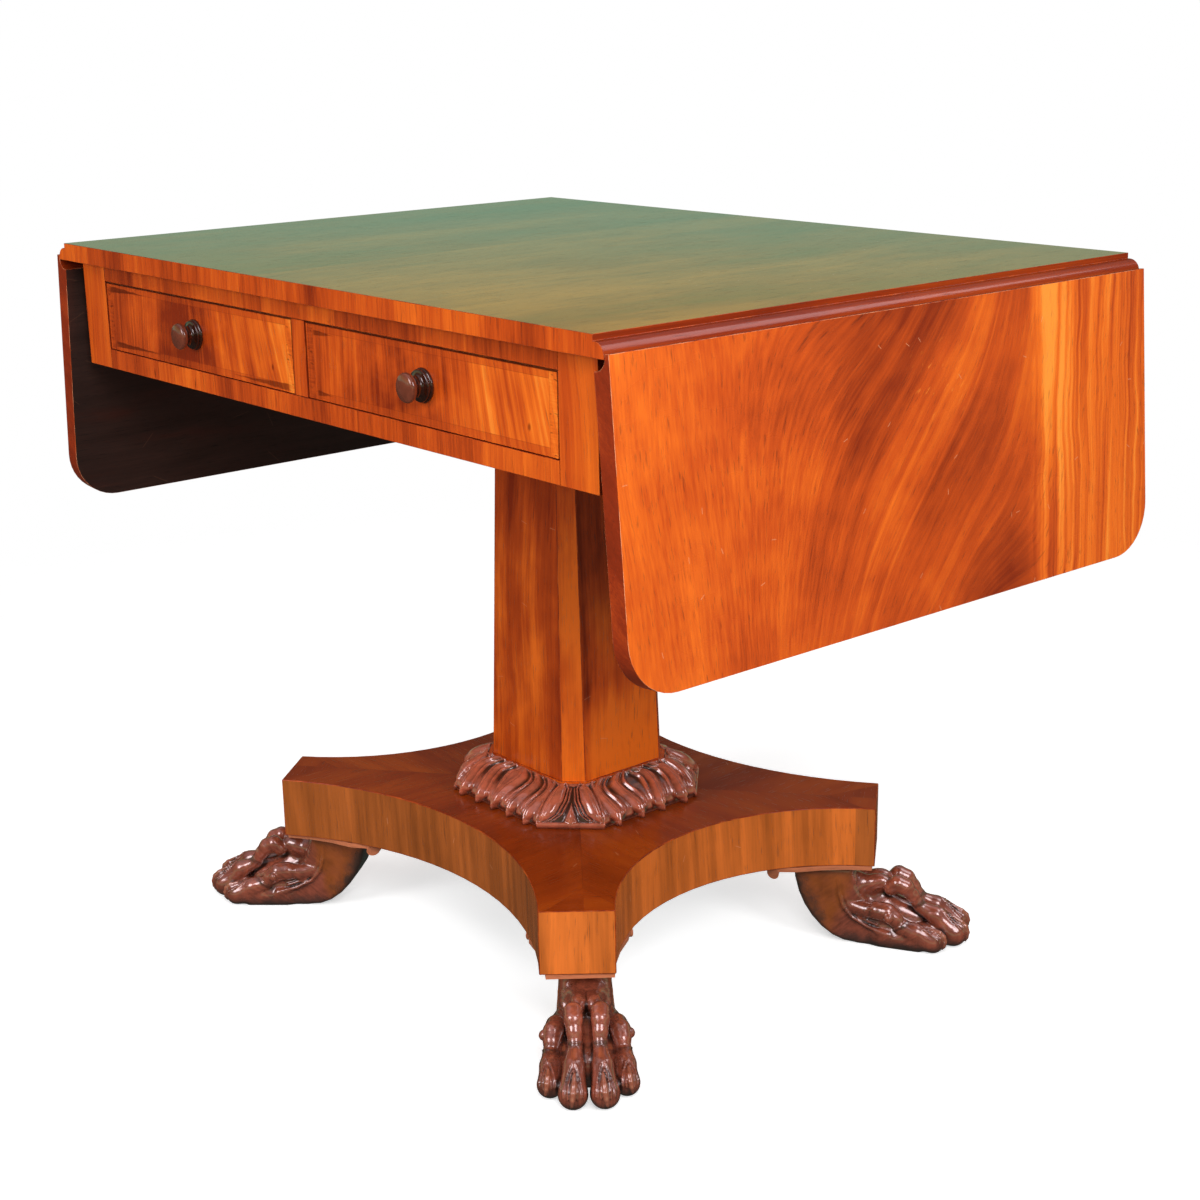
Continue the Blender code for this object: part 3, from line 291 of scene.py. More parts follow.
def bed_face(f, woods):
    """Top of the bed: two boards with the joint running front to back."""
    joint = f.x + f.y * 0.0733 + 0.0735
    board = joint.above(0.0)
    tone, pores, fine = figure(f, f.x + board * 0.31, f.y, f.z, seed=3.0, ribbon=0.9, flame=0.8, broad=2.1)
    colours = (scale_tone(woods.dark, 0.48), scale_tone(woods.middle, 0.5), scale_tone(woods.bright, 0.58))
    dents = dashes(f, f.x, f.y, cell=0.05, length=0.009, width=0.0005, share=0.3)
    marks = ((joint.near(0.0, 0.0007) * 0.7, scale_tone(woods.dark, 0.2)), (dents * 0.5, woods.worn))
    return polished(f, tone + board * 0.2 - 0.1, pores, fine, colours, woods.top_roughness, marks, gloss=0.85)


def crossband(f, woods, across, along, seed, lift=0.0, patch=0.075, nicks=()):
    """Short upright veneers, each a hand's breadth wide and cut from another place."""
    place = across / patch + seed
    change = f.chance(place.floor() + seed)
    tone, pores, fine = figure(f, across + change * 3.0, along, change, seed=seed, ribbon=0.9, flame=0.25)
    streak = f.ripple(across * 700, along * 25, change * 9, 3.0)
    seam = abs(place.fraction() - 0.5).over(0.49, 0.5)
    tick = f.noise(across * 330 + seed, along * 16, 3.0, 1.0).over(0.70, 0.76)
    marks = [(seam * 0.35, woods.dark), (tick * 0.45, scale_tone(woods.dark, 0.35)), *nicks]
    tone = tone + (change - 0.5) * 0.26 + streak * 0.6 + lift
    return polished(f, tone, pores, fine, (woods.dark, woods.middle, woods.light), woods.roughness, marks)


def bed_edge(f, woods):
    return crossband(f, woods, f.x, f.z, seed=2.0)


def frieze_upper(f, woods):
    return crossband(f, woods, f.x, f.z, seed=5.0, lift=-0.08, patch=0.062)


def frieze_lower(f, woods):
    nick = f.noise(f.x * 120 + 9, f.z * 20, 1.0, 1.0).over(0.66, 0.72) * f.z.over(0.612, 0.603)
    nicks = [(nick * 0.8, scale_tone(woods.dark, 0.15))]
    return crossband(f, woods, f.x, f.z, seed=8.0, patch=0.09, nicks=nicks)


def rule_moulding(f, woods):
    tone, pores, fine = figure(f, f.z * 2 + f.x, f.y, f.x, seed=12.0, ribbon=0.5, flame=0.2)
    colours = (scale_tone(woods.dark, 0.5), woods.dark, scale_tone(woods.middle, 0.7))
    return polished(f, tone, pores, fine, colours, 0.2, gloss=0.3)


def stile_face(f, woods):
    tone, pores, fine = figure(f, f.x, f.z, f.y, seed=17.0, ribbon=1.2, flame=0.25)
    return polished(f, tone + 0.1, pores, fine, (woods.dark, woods.middle, woods.light), woods.roughness)


def leaf_face(f, woods):
    """Outer face of a leaf: upright grain, a curl, leaning streaks, then upright bright ribbons."""
    lean = f.y.over(-0.24, 0.0, -0.10, 0.88) + f.y.over(0.06, 0.24, 0.0, -0.85)
    across = f.y - lean * (f.z - 0.58)
    tone, pores, fine = figure(f, across, f.z, f.x, seed=23.0, ribbon=0.5, flame=0.28, broad=0.8)
    streak = f.ripple(across * 30 + 2, f.z * 2.5, 6.0, 2.0) * f.y.over(-0.2, -0.02)
    cloud = f.ripple(f.y * 11, f.z * 13, 7.0, 3.0)
    gleam = across.near(-0.005, 0.006) * 0.22 + across.near(0.036, 0.004) * 0.18
    low_gloom = f.y.near(0.10, 0.14) * f.z.over(0.64, 0.5) * 0.36
    high_gloom = f.y.near(-0.02, 0.12) * f.z.over(0.52, 0.68) * 0.16
    front_light = f.y.over(-0.06, -0.32, -0.06, 0.24)
    plain = tone * 0.95 + 0.06 + streak + cloud * 0.85 + gleam - (low_gloom + high_gloom) + front_light
    sway = f.ripple(f.y * 14, f.z * 9, 11.0, 2.0) * 0.02
    stripe = f.ripple((f.y + sway) * 88 + 7 - f.z * 4, f.z * 1.6, 4.0, 2.0)
    thin = f.ripple((f.y + sway) * 290 + 3 - f.z * 12, f.z * 2.0, 5.0, 2.0)
    glow = f.y.near(0.19, 0.04) * f.z.over(0.46, 0.66) * 0.65
    striped = 0.86 + stripe * 2.6 + thin * 1.3 + glow - f.y.near(0.33, 0.06) * 0.25
    ribbons = (f.y + f.ripple(f.y * 9, f.z * 14, 9.0, 2.0) * 0.035).over(0.150, 0.186)
    tone = (plain * (1 - ribbons) + striped * ribbons) * 0.667
    fleck = f.noise(across * 210, f.z * 90, 2.0, 2.0).over(0.62, 0.7)
    fleck = fleck * f.y.near(0.035, 0.05) * f.z.near(0.645, 0.05)
    scratch = dashes(f, f.y, f.z, cell=0.034, length=0.0030, width=0.00045, share=0.20)
    marks = ((fleck * 0.6, woods.bright), (scratch * 0.7, woods.worn))
    colours = (woods.dark, woods.middle, woods.light, woods.bright)
    fine = fine * f.y.over(-0.16, 0.02, 0.85, 0.45)
    return polished(f, tone, pores, fine, colours, woods.roughness + 0.04, marks, gloss=0.85)


def leaf_edge(f, woods):
    tone, pores, fine = figure(f, f.x + f.z, f.y, f.z, seed=27.0, ribbon=0.6, flame=0.2)
    colours = (scale_tone(woods.dark, 0.6), scale_tone(woods.dark, 1.2), woods.middle)
    return polished(f, tone - 0.1, pores, fine, colours, 0.3)


def underside(f, woods):
    """Dark unpolished face, scuffed and dusty; its near-black colour is partly dark stain and partly painted
    shade.
    """
    tone, pores, fine = figure(f, f.x + f.z * 0.5, f.y, f.z, seed=31.0, ribbon=0.8, flame=0.2)
    scuff = f.noise(f.x * 30, f.y * 5, f.z * 30, 4.0).over(0.56, 0.75)
    scratch = dashes(f, f.y, f.z + f.x, cell=0.05, length=0.012, width=0.0005, share=0.4)
    # Near black: dark stain with painted shade.
    colours = ((0.018, 0.009, 0.0070), (0.037, 0.017, 0.013), (0.068, 0.030, 0.022))
    marks = ((scuff * 0.3, scale_tone(woods.dark, 0.4)), (scratch * 0.35, scale_tone(woods.worn, 0.3)))
    return polished(f, tone, pores, fine, colours, 0.5, marks)


def drawer_veneer(f, woods, left, seed, lift, losses):
    """Drawer front: flame veneer in a border, upright at one end and with bright ribbons at the other.

    A loss of veneer is its start and finish across, its low and high edge, and how dark it is.
    """
    wide, tall, foot = 0.3597, 0.0694, 0.6198
    end_band, rim_band, line = 0.0115, 0.0072, 0.0005
    u, v = f.x - left, f.z - foot
    across = u + u.over(0.14, 0.33, 0.0, 0.26) * v
    tone, pores, fine = figure(f, across, f.z, f.y, seed=seed, ribbon=0.85, flame=1.0, broad=1.5)
    ribbon = f.ripple(across * 78 + seed, f.z * 3, 6.0, 2.0) * u.over(0.17, 0.27) * 1.5
    cloud = f.ripple(u * 24 + seed, v * 30, 2.0, 4.0) * u.near(0.15, 0.18) * 1.2
    upright = f.ripple(u * 120 + seed, v * 4, 4.0, 2.0) * u.over(0.14, 0.04) * 0.8
    field = tone + ribbon + cloud + upright + u.over(0.17, 0.33) * 0.42 - u.near(0.16, 0.12) * 0.3 + lift
    end = u.below(end_band) + u.above(wide - end_band)
    rim = (v.below(rim_band) + v.above(tall - rim_band)) * (1 - end)
    banded = f.ripple(u * 40, v * 420, seed, 3.0)
    field = field * (1 - rim * 0.55) + rim * 0.22 + end * banded * 0.9 - end * 0.06
    lines = v.near(rim_band, line).larger(v.near(tall - rim_band, line)) * (1 - end)
    lines = lines.larger(u.near(end_band, line)).larger(u.near(wide - end_band, line))
    tick = f.noise(u * 90, v * 300, seed, 1.0).over(0.62, 0.7) * end
    knot = f.length((u - 0.322) * 1.6, v - 0.02).over(0.0045, 0.001)
    # Painted shadow of the gap along the drawer front's top and right-hand edges.
    gap = v.over(tall - 0.0020, tall - 0.0009).larger(u.over(wide - 0.0024, wide - 0.0010)) * 0.92
    marks = [(lines * 0.5, woods.dark), (tick * 0.6, scale_tone(woods.dark, 0.3)),
             (knot * 0.7, scale_tone(woods.dark, 0.5)), (gap, scale_tone(woods.dark, 0.1))]
    for start, finish, low, high, strength in losses:
        ragged = v + f.ripple(u * 60, v * 90, 8.0, 3.0) * 0.003
        loss = abs(ragged - 0.5 * (low + high)) - u.over(start, finish, 0.5 * (high - low), 0.0)
        ends = u.near(0.5 * (start + finish), 0.5 * abs(finish - start) + 0.004).over(0.0, 0.25)
        marks.append((loss.over(0.0006, -0.0004) * ends * strength, scale_tone(woods.dark, 0.22)))
    colours = (woods.dark, woods.middle, woods.light, woods.bright)
    return polished(f, field * 0.667, pores, fine, colours, woods.roughness, marks)


def drawer_veneer_left(f, woods):
    losses = ((0.0, 0.085, 0.0595, 0.0660, 0.7), (0.004, 0.12, 0.0035, 0.0090, 0.7),
              (0.36, 0.24, 0.0015, 0.0075, 0.6))
    # This drawer's veneer is made darker: partly its own darker wood, partly painted shade.
    return drawer_veneer(f, woods, -0.3712, 41.0, -0.16, losses)


def drawer_veneer_right(f, woods):
    losses = ((0.012, 0.045, 0.0580, 0.0630, 0.6), (0.016, 0.040, 0.0040, 0.0085, 0.6))
    # This drawer's veneer is made a little lighter: partly its own lighter wood, partly painted light.
    return drawer_veneer(f, woods, 0.0115, 47.0, 0.04, losses)


def frieze_plain(f, woods):
    """Solid mahogany of the frame where no veneer covers it."""
    tone, pores, fine = figure(f, f.z, f.x + f.y, f.y - f.x, seed=53.0, ribbon=0.6, flame=0.2)
    colours = (scale_tone(woods.dark, 0.5), scale_tone(woods.dark, 0.9), scale_tone(woods.middle, 0.7))
    return polished(f, tone, pores, fine, colours, 0.35)


def column_face(f, woods, across, depth, seed, lift, colours):
    tone, pores, fine = figure(f, across, f.z, depth, seed=seed, ribbon=0.8, flame=0.55)
    patch = f.ripple(across * 20 + seed, f.z * 9, depth * 16, 3.0)
    band = f.ripple(across * 60 + seed, f.z * 1.5, 3.0, 1.0)
    scratch = dashes(f, across, f.z, cell=0.045, length=0.005, width=0.0004, share=0.25)
    tone = tone + patch * 1.3 + band * 0.9 + lift
    return polished(f, tone, pores, fine, colours, woods.roughness, [(scratch * 0.5, woods.worn)])


def column_front(f, woods):
    colours = (woods.dark, scale_tone(woods.middle, 0.84), woods.light)
    return column_face(f, woods, f.x, f.y, 61.0, 0.0, colours)


def column_side(f, woods):
    # Painted shade in a dark band by the front edge, partly dark figure; a lighter stripe of figure; painted
    # light low down, where light reaches under the leaf.
    lift = f.y.near(-0.052, 0.035) * -0.6 + f.y.near(-0.012, 0.012) * 0.3 + f.z.over(0.30, 0.25) * 0.4
    colours = (scale_tone(woods.dark, 0.9), woods.middle, woods.light)
    return column_face(f, woods, f.y, f.x, 64.0, lift + 0.05, colours)


def column_cant(f, woods):
    colours = (woods.dark, woods.middle, woods.light)
    # The cants are made lighter than the other faces: painted light.
    return column_face(f, woods, (f.x - f.y) * 0.7, f.x + f.y, 67.0, 0.12, colours)


def platform_top(f, woods):
    """Quartered veneer: the grain runs out from the column, mitred along each arm, with a crossed tip."""
    x, y = abs(f.x), abs(f.y)
    along_arm = x * FOOT_DIRECTION[0] + y * FOOT_DIRECTION[1]
    aside = y * FOOT_DIRECTION[0] - x * FOOT_DIRECTION[1]
    tip = along_arm - abs(aside) * 1.35 - 0.27
    is_tip = tip.above(0.0)
    is_side = aside.below(0.0)
    across = f.y * is_side + f.x * (1 - is_side)
    along = f.x * is_side + f.y * (1 - is_side)
    across = across * (1 - is_tip) + along_arm * is_tip
    along = along * (1 - is_tip) + aside * is_tip
    across = across + is_side * 2.3 + is_tip * 5.1
    tone, pores, fine = figure(f, across, along, f.z, seed=71.0, ribbon=0.35, flame=0.4, broad=1.3)
    mitre = abs(aside).over(0.0008, 0.0002) * (1 - is_tip)
    mitre = mitre.larger(abs(tip).over(0.0009, 0.0002))
    scratch = dashes(f, f.x, f.y, cell=0.05, length=0.005, width=0.0005, share=0.25)
    colours = (scale_tone(woods.dark, 0.55), scale_tone(woods.middle, 0.52), scale_tone(woods.light, 0.6))
    marks = ((mitre * 0.45, scale_tone(woods.dark, 0.4)), (scratch * 0.5, woods.worn))
    return polished(f, tone - is_tip * 0.12, pores, fine * 0.5, colours, woods.roughness, marks)


def platform_wall(f, woods, across, depth, seed, brown):
    """Sides of the platform: browner veneer with soft upright bands."""
    tone, pores, fine = figure(f, across, f.z, depth, seed=seed, ribbon=0.5, flame=0.25, broad=1.0)
    band = f.ripple((across + f.z * 0.06) * 75 + seed, f.z * 3, depth * 12, 2.0)
    marks = ((dashes(f, across, f.z, cell=0.04, length=0.004, width=0.0005, share=0.25) * 0.5, woods.worn),)
    colours = shades(brown, 0.4, 1.0, 1.75)
    return polished(f, tone + band * 0.9, pores, fine * 0.6, colours, woods.roughness, marks)


def platform_wall_x(f, woods):
    # Painted reflection of the green cloth: the brown is made darker, greyer and greener.
    reflection_tinted_brown = [share * channel for share, channel in zip((0.66, 0.72, 0.9), woods.brown)]
    return platform_wall(f, woods, f.x, f.y, 74.0, reflection_tinted_brown)


def platform_wall_y(f, woods):
    # Painted light: the walls that face along x are made lighter.
    return platform_wall(f, woods, f.y, f.x, 77.0, scale_tone(woods.brown, 1.07))


def arris_worn(f, woods):
    """Edges rubbed pale, broken along their length."""
    rub = f.noise(f.x * 60, f.y * 60, f.z * 60, 4.0).over(0.38, 0.62)
    tone, pores, fine = figure(f, f.x + f.y, f.z, f.y, seed=81.0, ribbon=0.5, flame=0.2)
    colours = (woods.dark, woods.middle, woods.light)
    return polished(f, tone, pores, fine, colours, 0.34, [(rub * 0.8, woods.worn)])


def arris_soft(f, woods):
    """Edges a little rubbed, dark where polish has gathered."""
    rub = f.noise(f.x * 45, f.y * 45, f.z * 45, 4.0).over(0.45, 0.7)
    tone, pores, fine = figure(f, f.x + f.y, f.z, f.y, seed=84.0, ribbon=0.5, flame=0.2)
    colours = (scale_tone(woods.dark, 0.7), woods.dark, woods.middle)
    return polished(f, tone, pores, fine, colours, 0.28, [(rub * 0.45, woods.light)])


def foot_plate_wood(f, woods):
    tone, pores, fine = figure(f, f.x - f.y, f.x + f.y, f.z * 3, seed=87.0, ribbon=0.7, flame=0.3)
    return polished(f, tone, pores, fine, shades(woods.plate, 0.55, 1.0, 1.25), 0.3)


def carved_wood(f, woods, where, hairs, lift, grime_and_shade, stain, blur, plain=None):
    """Stained carving with painted shade in the hollows, rubbed on the high places, with tool lines.

    It is browner where it is plain, and blur is the roughness of its polish.
    """
    s, n, z = f.split(where)
    hollow, claw = f.marked("hollow"), f.marked("claw")
    tone = f.noise(s * 40, n * 40, z * 40, 4.0) + f.ripple(s * 130, n * 130, z * 60, 3.0) * 0.5
    line = f.ripple(*hairs, 2.0)
    colour = f.ramp(tone + line * 0.9 + lift, *shades(stain, 0.35, 1.0, 1.9))
    if plain is not None:
        colour = f.mix(plain, colour, f.ramp(tone + line * 0.4, *shades(woods.brown, 0.25, 0.55, 0.8)))
    # Painted shade: the hollows are darkened nearly to black.
    colour = f.mix(hollow.over(0.16, 0.72) * 0.92, colour, scale_tone(woods.carving, 0.06))
    rub = (1 - hollow).over(0.9, 1.15) * f.noise(s * 90, n * 90, z * 90, 3.0).over(0.35, 0.65)
    colour = f.mix(rub * 0.35, colour, scale_tone(stain, 2.4))
    colour = f.mix(claw * 0.6, colour, woods.claw)
    # Painted shadow and darkening, mixed towards near black where the carving is marked for it.
    colour = f.mix(grime_and_shade, colour, (0.030, 0.022, 0.020))
    roughness = blur + 0.04 + hollow * 0.25 + (tone - 0.5) * 0.08 + grime_and_shade * 0.15
    relief = line * 1.6 + f.noise(s * 600, n * 600, z * 600, 2.0) * 0.1
    return f.surface(colour, roughness, relief, 0.0003, Coat_Weight=1.0, Coat_Roughness=blur, Coat_IOR=2.2)


def paw_carving(f, woods):
    where = f.marked("carving", "Vector")
    s, n, z = f.split(where)
    pad = s.over(0.366, 0.376)
    sweep = s * 0.75 + z * 0.65
    hairs = [first * (1 - pad) + second * pad for first, second in (
        (sweep * 60 + 4, s * 28), (n * 300, n * 520), ((z * 0.75 - s * 0.65) * 420, z * 28))]
    cloud = f.ripple(s * 70, n * 70, z * 70, 4.0)
    plain = (s - z * 0.3 + cloud * 0.02).over(0.282, 0.268)
    # Darker near the floor and at the back of the leg; painted shadow at the top, under the foot plate.
    grime_and_shade = (z + cloud * 0.016).over(0.017, 0.002) * 0.85 + z.over(0.072, 0.084) * 0.6
    grime_and_shade = grime_and_shade.larger((s + z * 0.55 + cloud * 0.04).over(0.292, 0.272) * 0.85)
    lift = s.near(0.362, 0.03) * 0.2 + pad * 0.05
    return carved_wood(f, woods, where, hairs, lift, grime_and_shade, scale_tone(woods.carving, 0.72), 0.17, plain)


def collar_carving(f, woods):
    where = f.vector(f.x, f.y, f.z)
    # Darker at the collar's foot, where it meets the platform.
    grime_and_shade = f.z.over(0.160, 0.156) * 0.5
    hairs = (f.x * 90, f.y * 90, f.z * 240)
    return carved_wood(f, woods, where, hairs, 0.3, grime_and_shade, scale_tone(woods.carving, 0.88), 0.12)


def knob_wood(f, woods):
    """Turned wood, darker from the neck back to the rose."""
    tone = f.noise(f.x * 60, f.y * 160, f.z * 60, 4.0)
    ring = f.ripple(f.x * 5, f.y * 900, f.z * 5, 2.0)
    colour = f.ramp(tone + ring * 0.3, *shades(woods.knob, 0.5, 1.0, 2.0))
    colour = f.shaded(colour, f.y.over(-0.3300, -0.3265) * 0.75)
    worn = f.noise(f.x * 110, f.y * 110, f.z * 110, 3.0).over(0.6, 0.75)
    colour = f.mix(worn * 0.2, colour, scale_tone(woods.knob, 2.6))
    roughness = 0.15 + (tone - 0.5) * 0.08
    return f.surface(colour, roughness, ring, 0.00002, Coat_Weight=0.6, Coat_Roughness=0.06, Coat_IOR=1.9)


def inside_wood(f, woods):
    """Plain pale timber of drawer linings and framing, darkened with age."""
    across, along, depth = f.z + f.x * 0.2, f.y + f.x * 0.4, f.x
    ring = (across * 420 + f.noise(across * 9, along * 1.5, depth * 9) * 40).sine()
    tone = 0.5 + ring * 0.16 + f.ripple(across * 260, along * 5, depth * 260) * 0.7
    colour = f.ramp(tone, *shades(woods.lining, 0.55, 0.9, 1.2))
    grime_and_shade = f.noise(f.x * 14, f.y * 9, f.z * 14, 4.0).over(0.5, 0.75)
    colour = f.mix(grime_and_shade * 0.5, colour, scale_tone(woods.lining, 0.28))
    return f.surface(colour, 0.68 + (tone - 0.5) * 0.15, tone, 0.0003)


def old_brass(f, woods):
    brushed = f.noise(f.x * 700, f.y * 60, f.z * 700, 3.0)
    tarnish = f.noise(f.x * 70, f.y * 70, f.z * 70, 5.0).over(0.42, 0.66)
    colour = f.ramp(brushed, *shades(woods.brass, 0.65, 1.0, 1.2))
    colour = f.mix(tarnish * 0.75, colour, (0.10, 0.066, 0.03))
    f.feed(f.shader.inputs["Metallic"], 1 - tarnish * 0.35)
    return f.surface(colour, 0.28 + tarnish * 0.3 + (brushed - 0.5) * 0.2, brushed, 0.0001)


def screw_steel(f, woods):
    rust = f.noise(f.x * 400, f.y * 400, f.z * 400, 4.0).over(0.45, 0.65)
    colour = f.mix(rust * 0.7, (0.32, 0.30, 0.27), (0.12, 0.055, 0.03))
    f.feed(f.shader.inputs["Metallic"], 1 - rust * 0.6)
    return f.surface(colour, 0.35 + rust * 0.3, rust, 0.0001)


def studio_floor(f, woods):
    grain = f.noise(f.x * 3, f.y * 3, 1.0, 4.0)
    colour = f.ramp(grain, (0.86, 0.86, 0.86), (0.90, 0.90, 0.90))
    f.feed(f.shader.inputs["Emission Color"], colour)
    f.feed(f.shader.inputs["Alpha"], f.length(f.x, f.y).over(1.9, 0.75))
    return f.surface(colour, 0.9 + (grain - 0.5) * 0.05, Emission_Strength=0.62)


def finish(make):
    """The material that a finish's function makes, made once."""
    name = make.__name__
    return bpy.data.materials.get(name) or make(Finish(name), bpy.context.scene.table_woods)


# Shapes


def place_piece(name, mesh, body, nodes=()):
    piece = bpy.data.objects.new(name, mesh)
    bpy.context.scene.collection.objects.link(piece)
    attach(piece, body)
    if nodes:
        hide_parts(*nodes)
    return piece


def made_plain(piece):
    """The mesh of a piece with its modifiers applied; the piece itself is removed."""
    result = bpy.data.meshes.new_from_object(piece.evaluated_get(bpy.context.evaluated_depsgraph_get()))
    old = piece.data
    bpy.data.objects.remove(piece)
    bpy.data.meshes.remove(old)
    return result


def settle_normals(mesh):
    """Shades each corner by the largest faces it runs into: flat faces stay flat beside rounded edges."""
    same_way = 0.72
    around = [[] for _ in mesh.vertices]
    for face in mesh.polygons:
        for vertex in face.vertices:
            around[vertex].append(face)
    normals = []
    for face in mesh.polygons:
        for vertex in face.vertices:
            near = (other for other in around[vertex] if other.normal.dot(face.normal) > same_way)
            normals.append(sum((other.normal * other.area for other in near), Vector()).normalized())
    mesh.normals_split_custom_set(normals)


def dressed_board(node, finishes, choose, arris=0.0006, worn=arris_soft):
    """A node's shape with softened, rubbed edges and a finish for each side of it."""
    made = bmesh.new()
    made.from_mesh(frame["nodes"][node].data)
    bmesh.ops.remove_doubles(made, verts=made.verts, dist=1e-5)
    bmesh.ops.dissolve_limit(made, angle_limit=math.radians(0.4), verts=made.verts, edges=made.edges)
    for face in made.faces:
        face.material_index = choose(face.normal, face.calc_center_median())
        face.smooth = True
    mesh = bpy.data.meshes.new(node + "_shape")
    made.to_mesh(mesh)
    made.free()
    for make in (*finishes, worn):
        mesh.materials.append(finish(make))
    piece = bpy.data.objects.new(node + "_shape", mesh)
    bpy.context.scene.collection.objects.link(piece)
    soften = piece.modifiers.new("arris", "BEVEL")
    soften.width, soften.segments, soften.limit_method = arris, 3, "ANGLE"
    soften.angle_limit, soften.material = math.radians(28), len(finishes)
    mesh = made_plain(piece)
    settle_normals(mesh)
    return place_piece(node + "_dressed", mesh, BODY_OF[node], (node,))


def any_face(normal, centre):
    return 0


def front_face(normal, centre):
    """The first finish at the front, the second on the other faces."""
    return 0 if normal.y < -0.9 else 1


def foot_way(corner):
    """The way, in plan, that the foot at a corner points."""
    return (FOOT_DIRECTION[0] * (1 if "right" in corner else -1),
            FOOT_DIRECTION[1] * (1 if "rear" in corner else -1))


def wear_slot(node, make):
    """Gives a node that keeps its own shape a finish."""
    slots = frame["nodes"][node].data.materials
    slots.clear()
    slots.append(finish(make))


def grid_mesh(name, points, quads, finishes):
    mesh = bpy.data.meshes.new(name)
    mesh.from_pydata(points.tolist(), [], quads.tolist())
    mesh.polygons.foreach_set("use_smooth", np.ones(len(quads), dtype=bool))
    for make in finishes:
        mesh.materials.append(finish(make))
    mesh.update()
    return mesh


def mark_points(mesh, name, values):
    """Keeps a number or a vector with each point of a mesh."""
    vector = values.ndim == 2
    kept = mesh.attributes.new(name, "FLOAT_VECTOR" if vector else "FLOAT", "POINT")
    kept.data.foreach_set("vector" if vector else "value", values.astype(np.float32).ravel())


def turned(profile, steps=72):
    """Points and quads of a profile of (radius, along) turned about its axis, closed at both ends."""
    angle = np.arange(steps) * 2 * math.pi / steps
    points, quads = [], []
    for radius, along in profile:
        points.append(np.stack([radius * np.cos(angle), np.full(steps, along), radius * np.sin(angle)], 1))
    for ring in range(len(profile) - 1):
        for step in range(steps):
            after = (step + 1) % steps
            quads.append([ring * steps + step, (ring + 1) * steps + step, (ring + 1) * steps + after,
                          ring * steps + after])
    return np.concatenate(points), np.array(quads)


def seal_mesh(mesh):
    """Merges points that meet and turns the faces outwards."""
    made = bmesh.new()
    made.from_mesh(mesh)
    bmesh.ops.remove_doubles(made, verts=made.verts, dist=1e-6)
    bmesh.ops.recalc_face_normals(made, faces=made.faces)
    made.to_mesh(mesh)
    made.free()


def knob_profile():
    """Turned spool: flat-faced head, neck and rose, as (radius, distance from the face)."""

    def bead(radius, along, bulge, depth, start, end, count):
        angles = np.linspace(start, end, count)
        return [(radius + bulge * math.sin(a), along - depth * math.cos(a)) for a in angles]

    face = [(0.0, 0.0), (0.0030, 0.0001), (0.0060, 0.0004), (0.0085, 0.0009), (0.0102, 0.0016)]
    head = bead(0.0098, 0.0052, 0.0033, 0.0036, 0.25, 2.9, 14)
    neck = [(0.0092, 0.0096), (0.0085, 0.0108), (0.0082, 0.0124), (0.0083, 0.0140), (0.0090, 0.0154),
            (0.0102, 0.0165)]
    rose = bead(0.0128, 0.0183, 0.0014, 0.0014, 0.0, 2.8, 8)
    rose += bead(0.0136, 0.0216, 0.0016, 0.0019, 0.2, 2.6, 9)
    peg = [(0.0140, 0.0240), (0.0050, 0.0240), (0.0050, 0.0423), (0.0, 0.0423)]
    return face + head + neck + rose + peg


def smooth_union(first, second, reach):
    share = np.clip(0.5 + 0.5 * (second - first) / reach, 0.0, 1.0)
    return second * (1 - share) + first * share - reach * share * (1 - share)


def smooth_cut(body, tool, reach):
    return -smooth_union(-body, tool, reach)


def rod(p, start, end, start_radius, end_radius):
    start, end = np.array(start), np.array(end)
    run = end - start
    share = np.clip(((p - start) @ run) / (run @ run), 0.0, 1.0)
    gap = np.linalg.norm(p - start - share[..., None] * run, axis=-1)
    return gap - (start_radius + (end_radius - start_radius) * share)


def chain(p, stations, reach):
    """Rods through stations of (s, n, z, radius), melted into one another."""
    field = None
    for first, second in zip(stations, stations[1:]):
        link = rod(p, first[:3], second[:3], first[3], second[3])
        field = link if field is None else smooth_union(field, link, reach)
    return field


def egg(p, centre, radii, nose=0.0, splay=0.0):
    """An ellipsoid with its nose dipped and splayed by angles in degrees."""
    q = p - np.array(centre)
    cosine, sine = math.cos(math.radians(splay)), math.sin(math.radians(splay))
    s, n = q[..., 0] * cosine + q[..., 1] * sine, q[..., 1] * cosine - q[..., 0] * sine
    cosine, sine = math.cos(math.radians(nose)), math.sin(math.radians(nose))
    s, z = s * cosine - q[..., 2] * sine, q[..., 2] * cosine + s * sine
    q = np.stack([s, n, z], -1) / np.array(radii)
    far = np.linalg.norm(q, axis=-1)
    slope = np.linalg.norm(q / np.array(radii), axis=-1)
    return far * (far - 1.0) / np.maximum(slope, 1e-9)


def on_pad(neck, ball, turn, places):
    """Stations on the front of a pad at places of (degrees up, degrees aside, girth).

    They go round the pad's ball as far up as its cone begins, then back along the cone to the neck.
    """
    cone_begins, cone_degrees, proud = 58.0, 40.0, 0.0003
    stations = []
    for up, aside, girth in places:
        back = max(up - cone_begins, 0.0) / cone_degrees
        *centre, radius = (end + (start - end) * back for start, end in zip(neck, ball))
        up, aside = math.radians(min(up, cone_begins)), math.radians(aside + turn)
        way = (math.cos(up) * math.cos(aside), math.sin(aside), math.sin(up) * math.cos(aside))
        stations.append((*(c + (radius + proud) * w for c, w in zip(centre, way)), girth))
    return stations


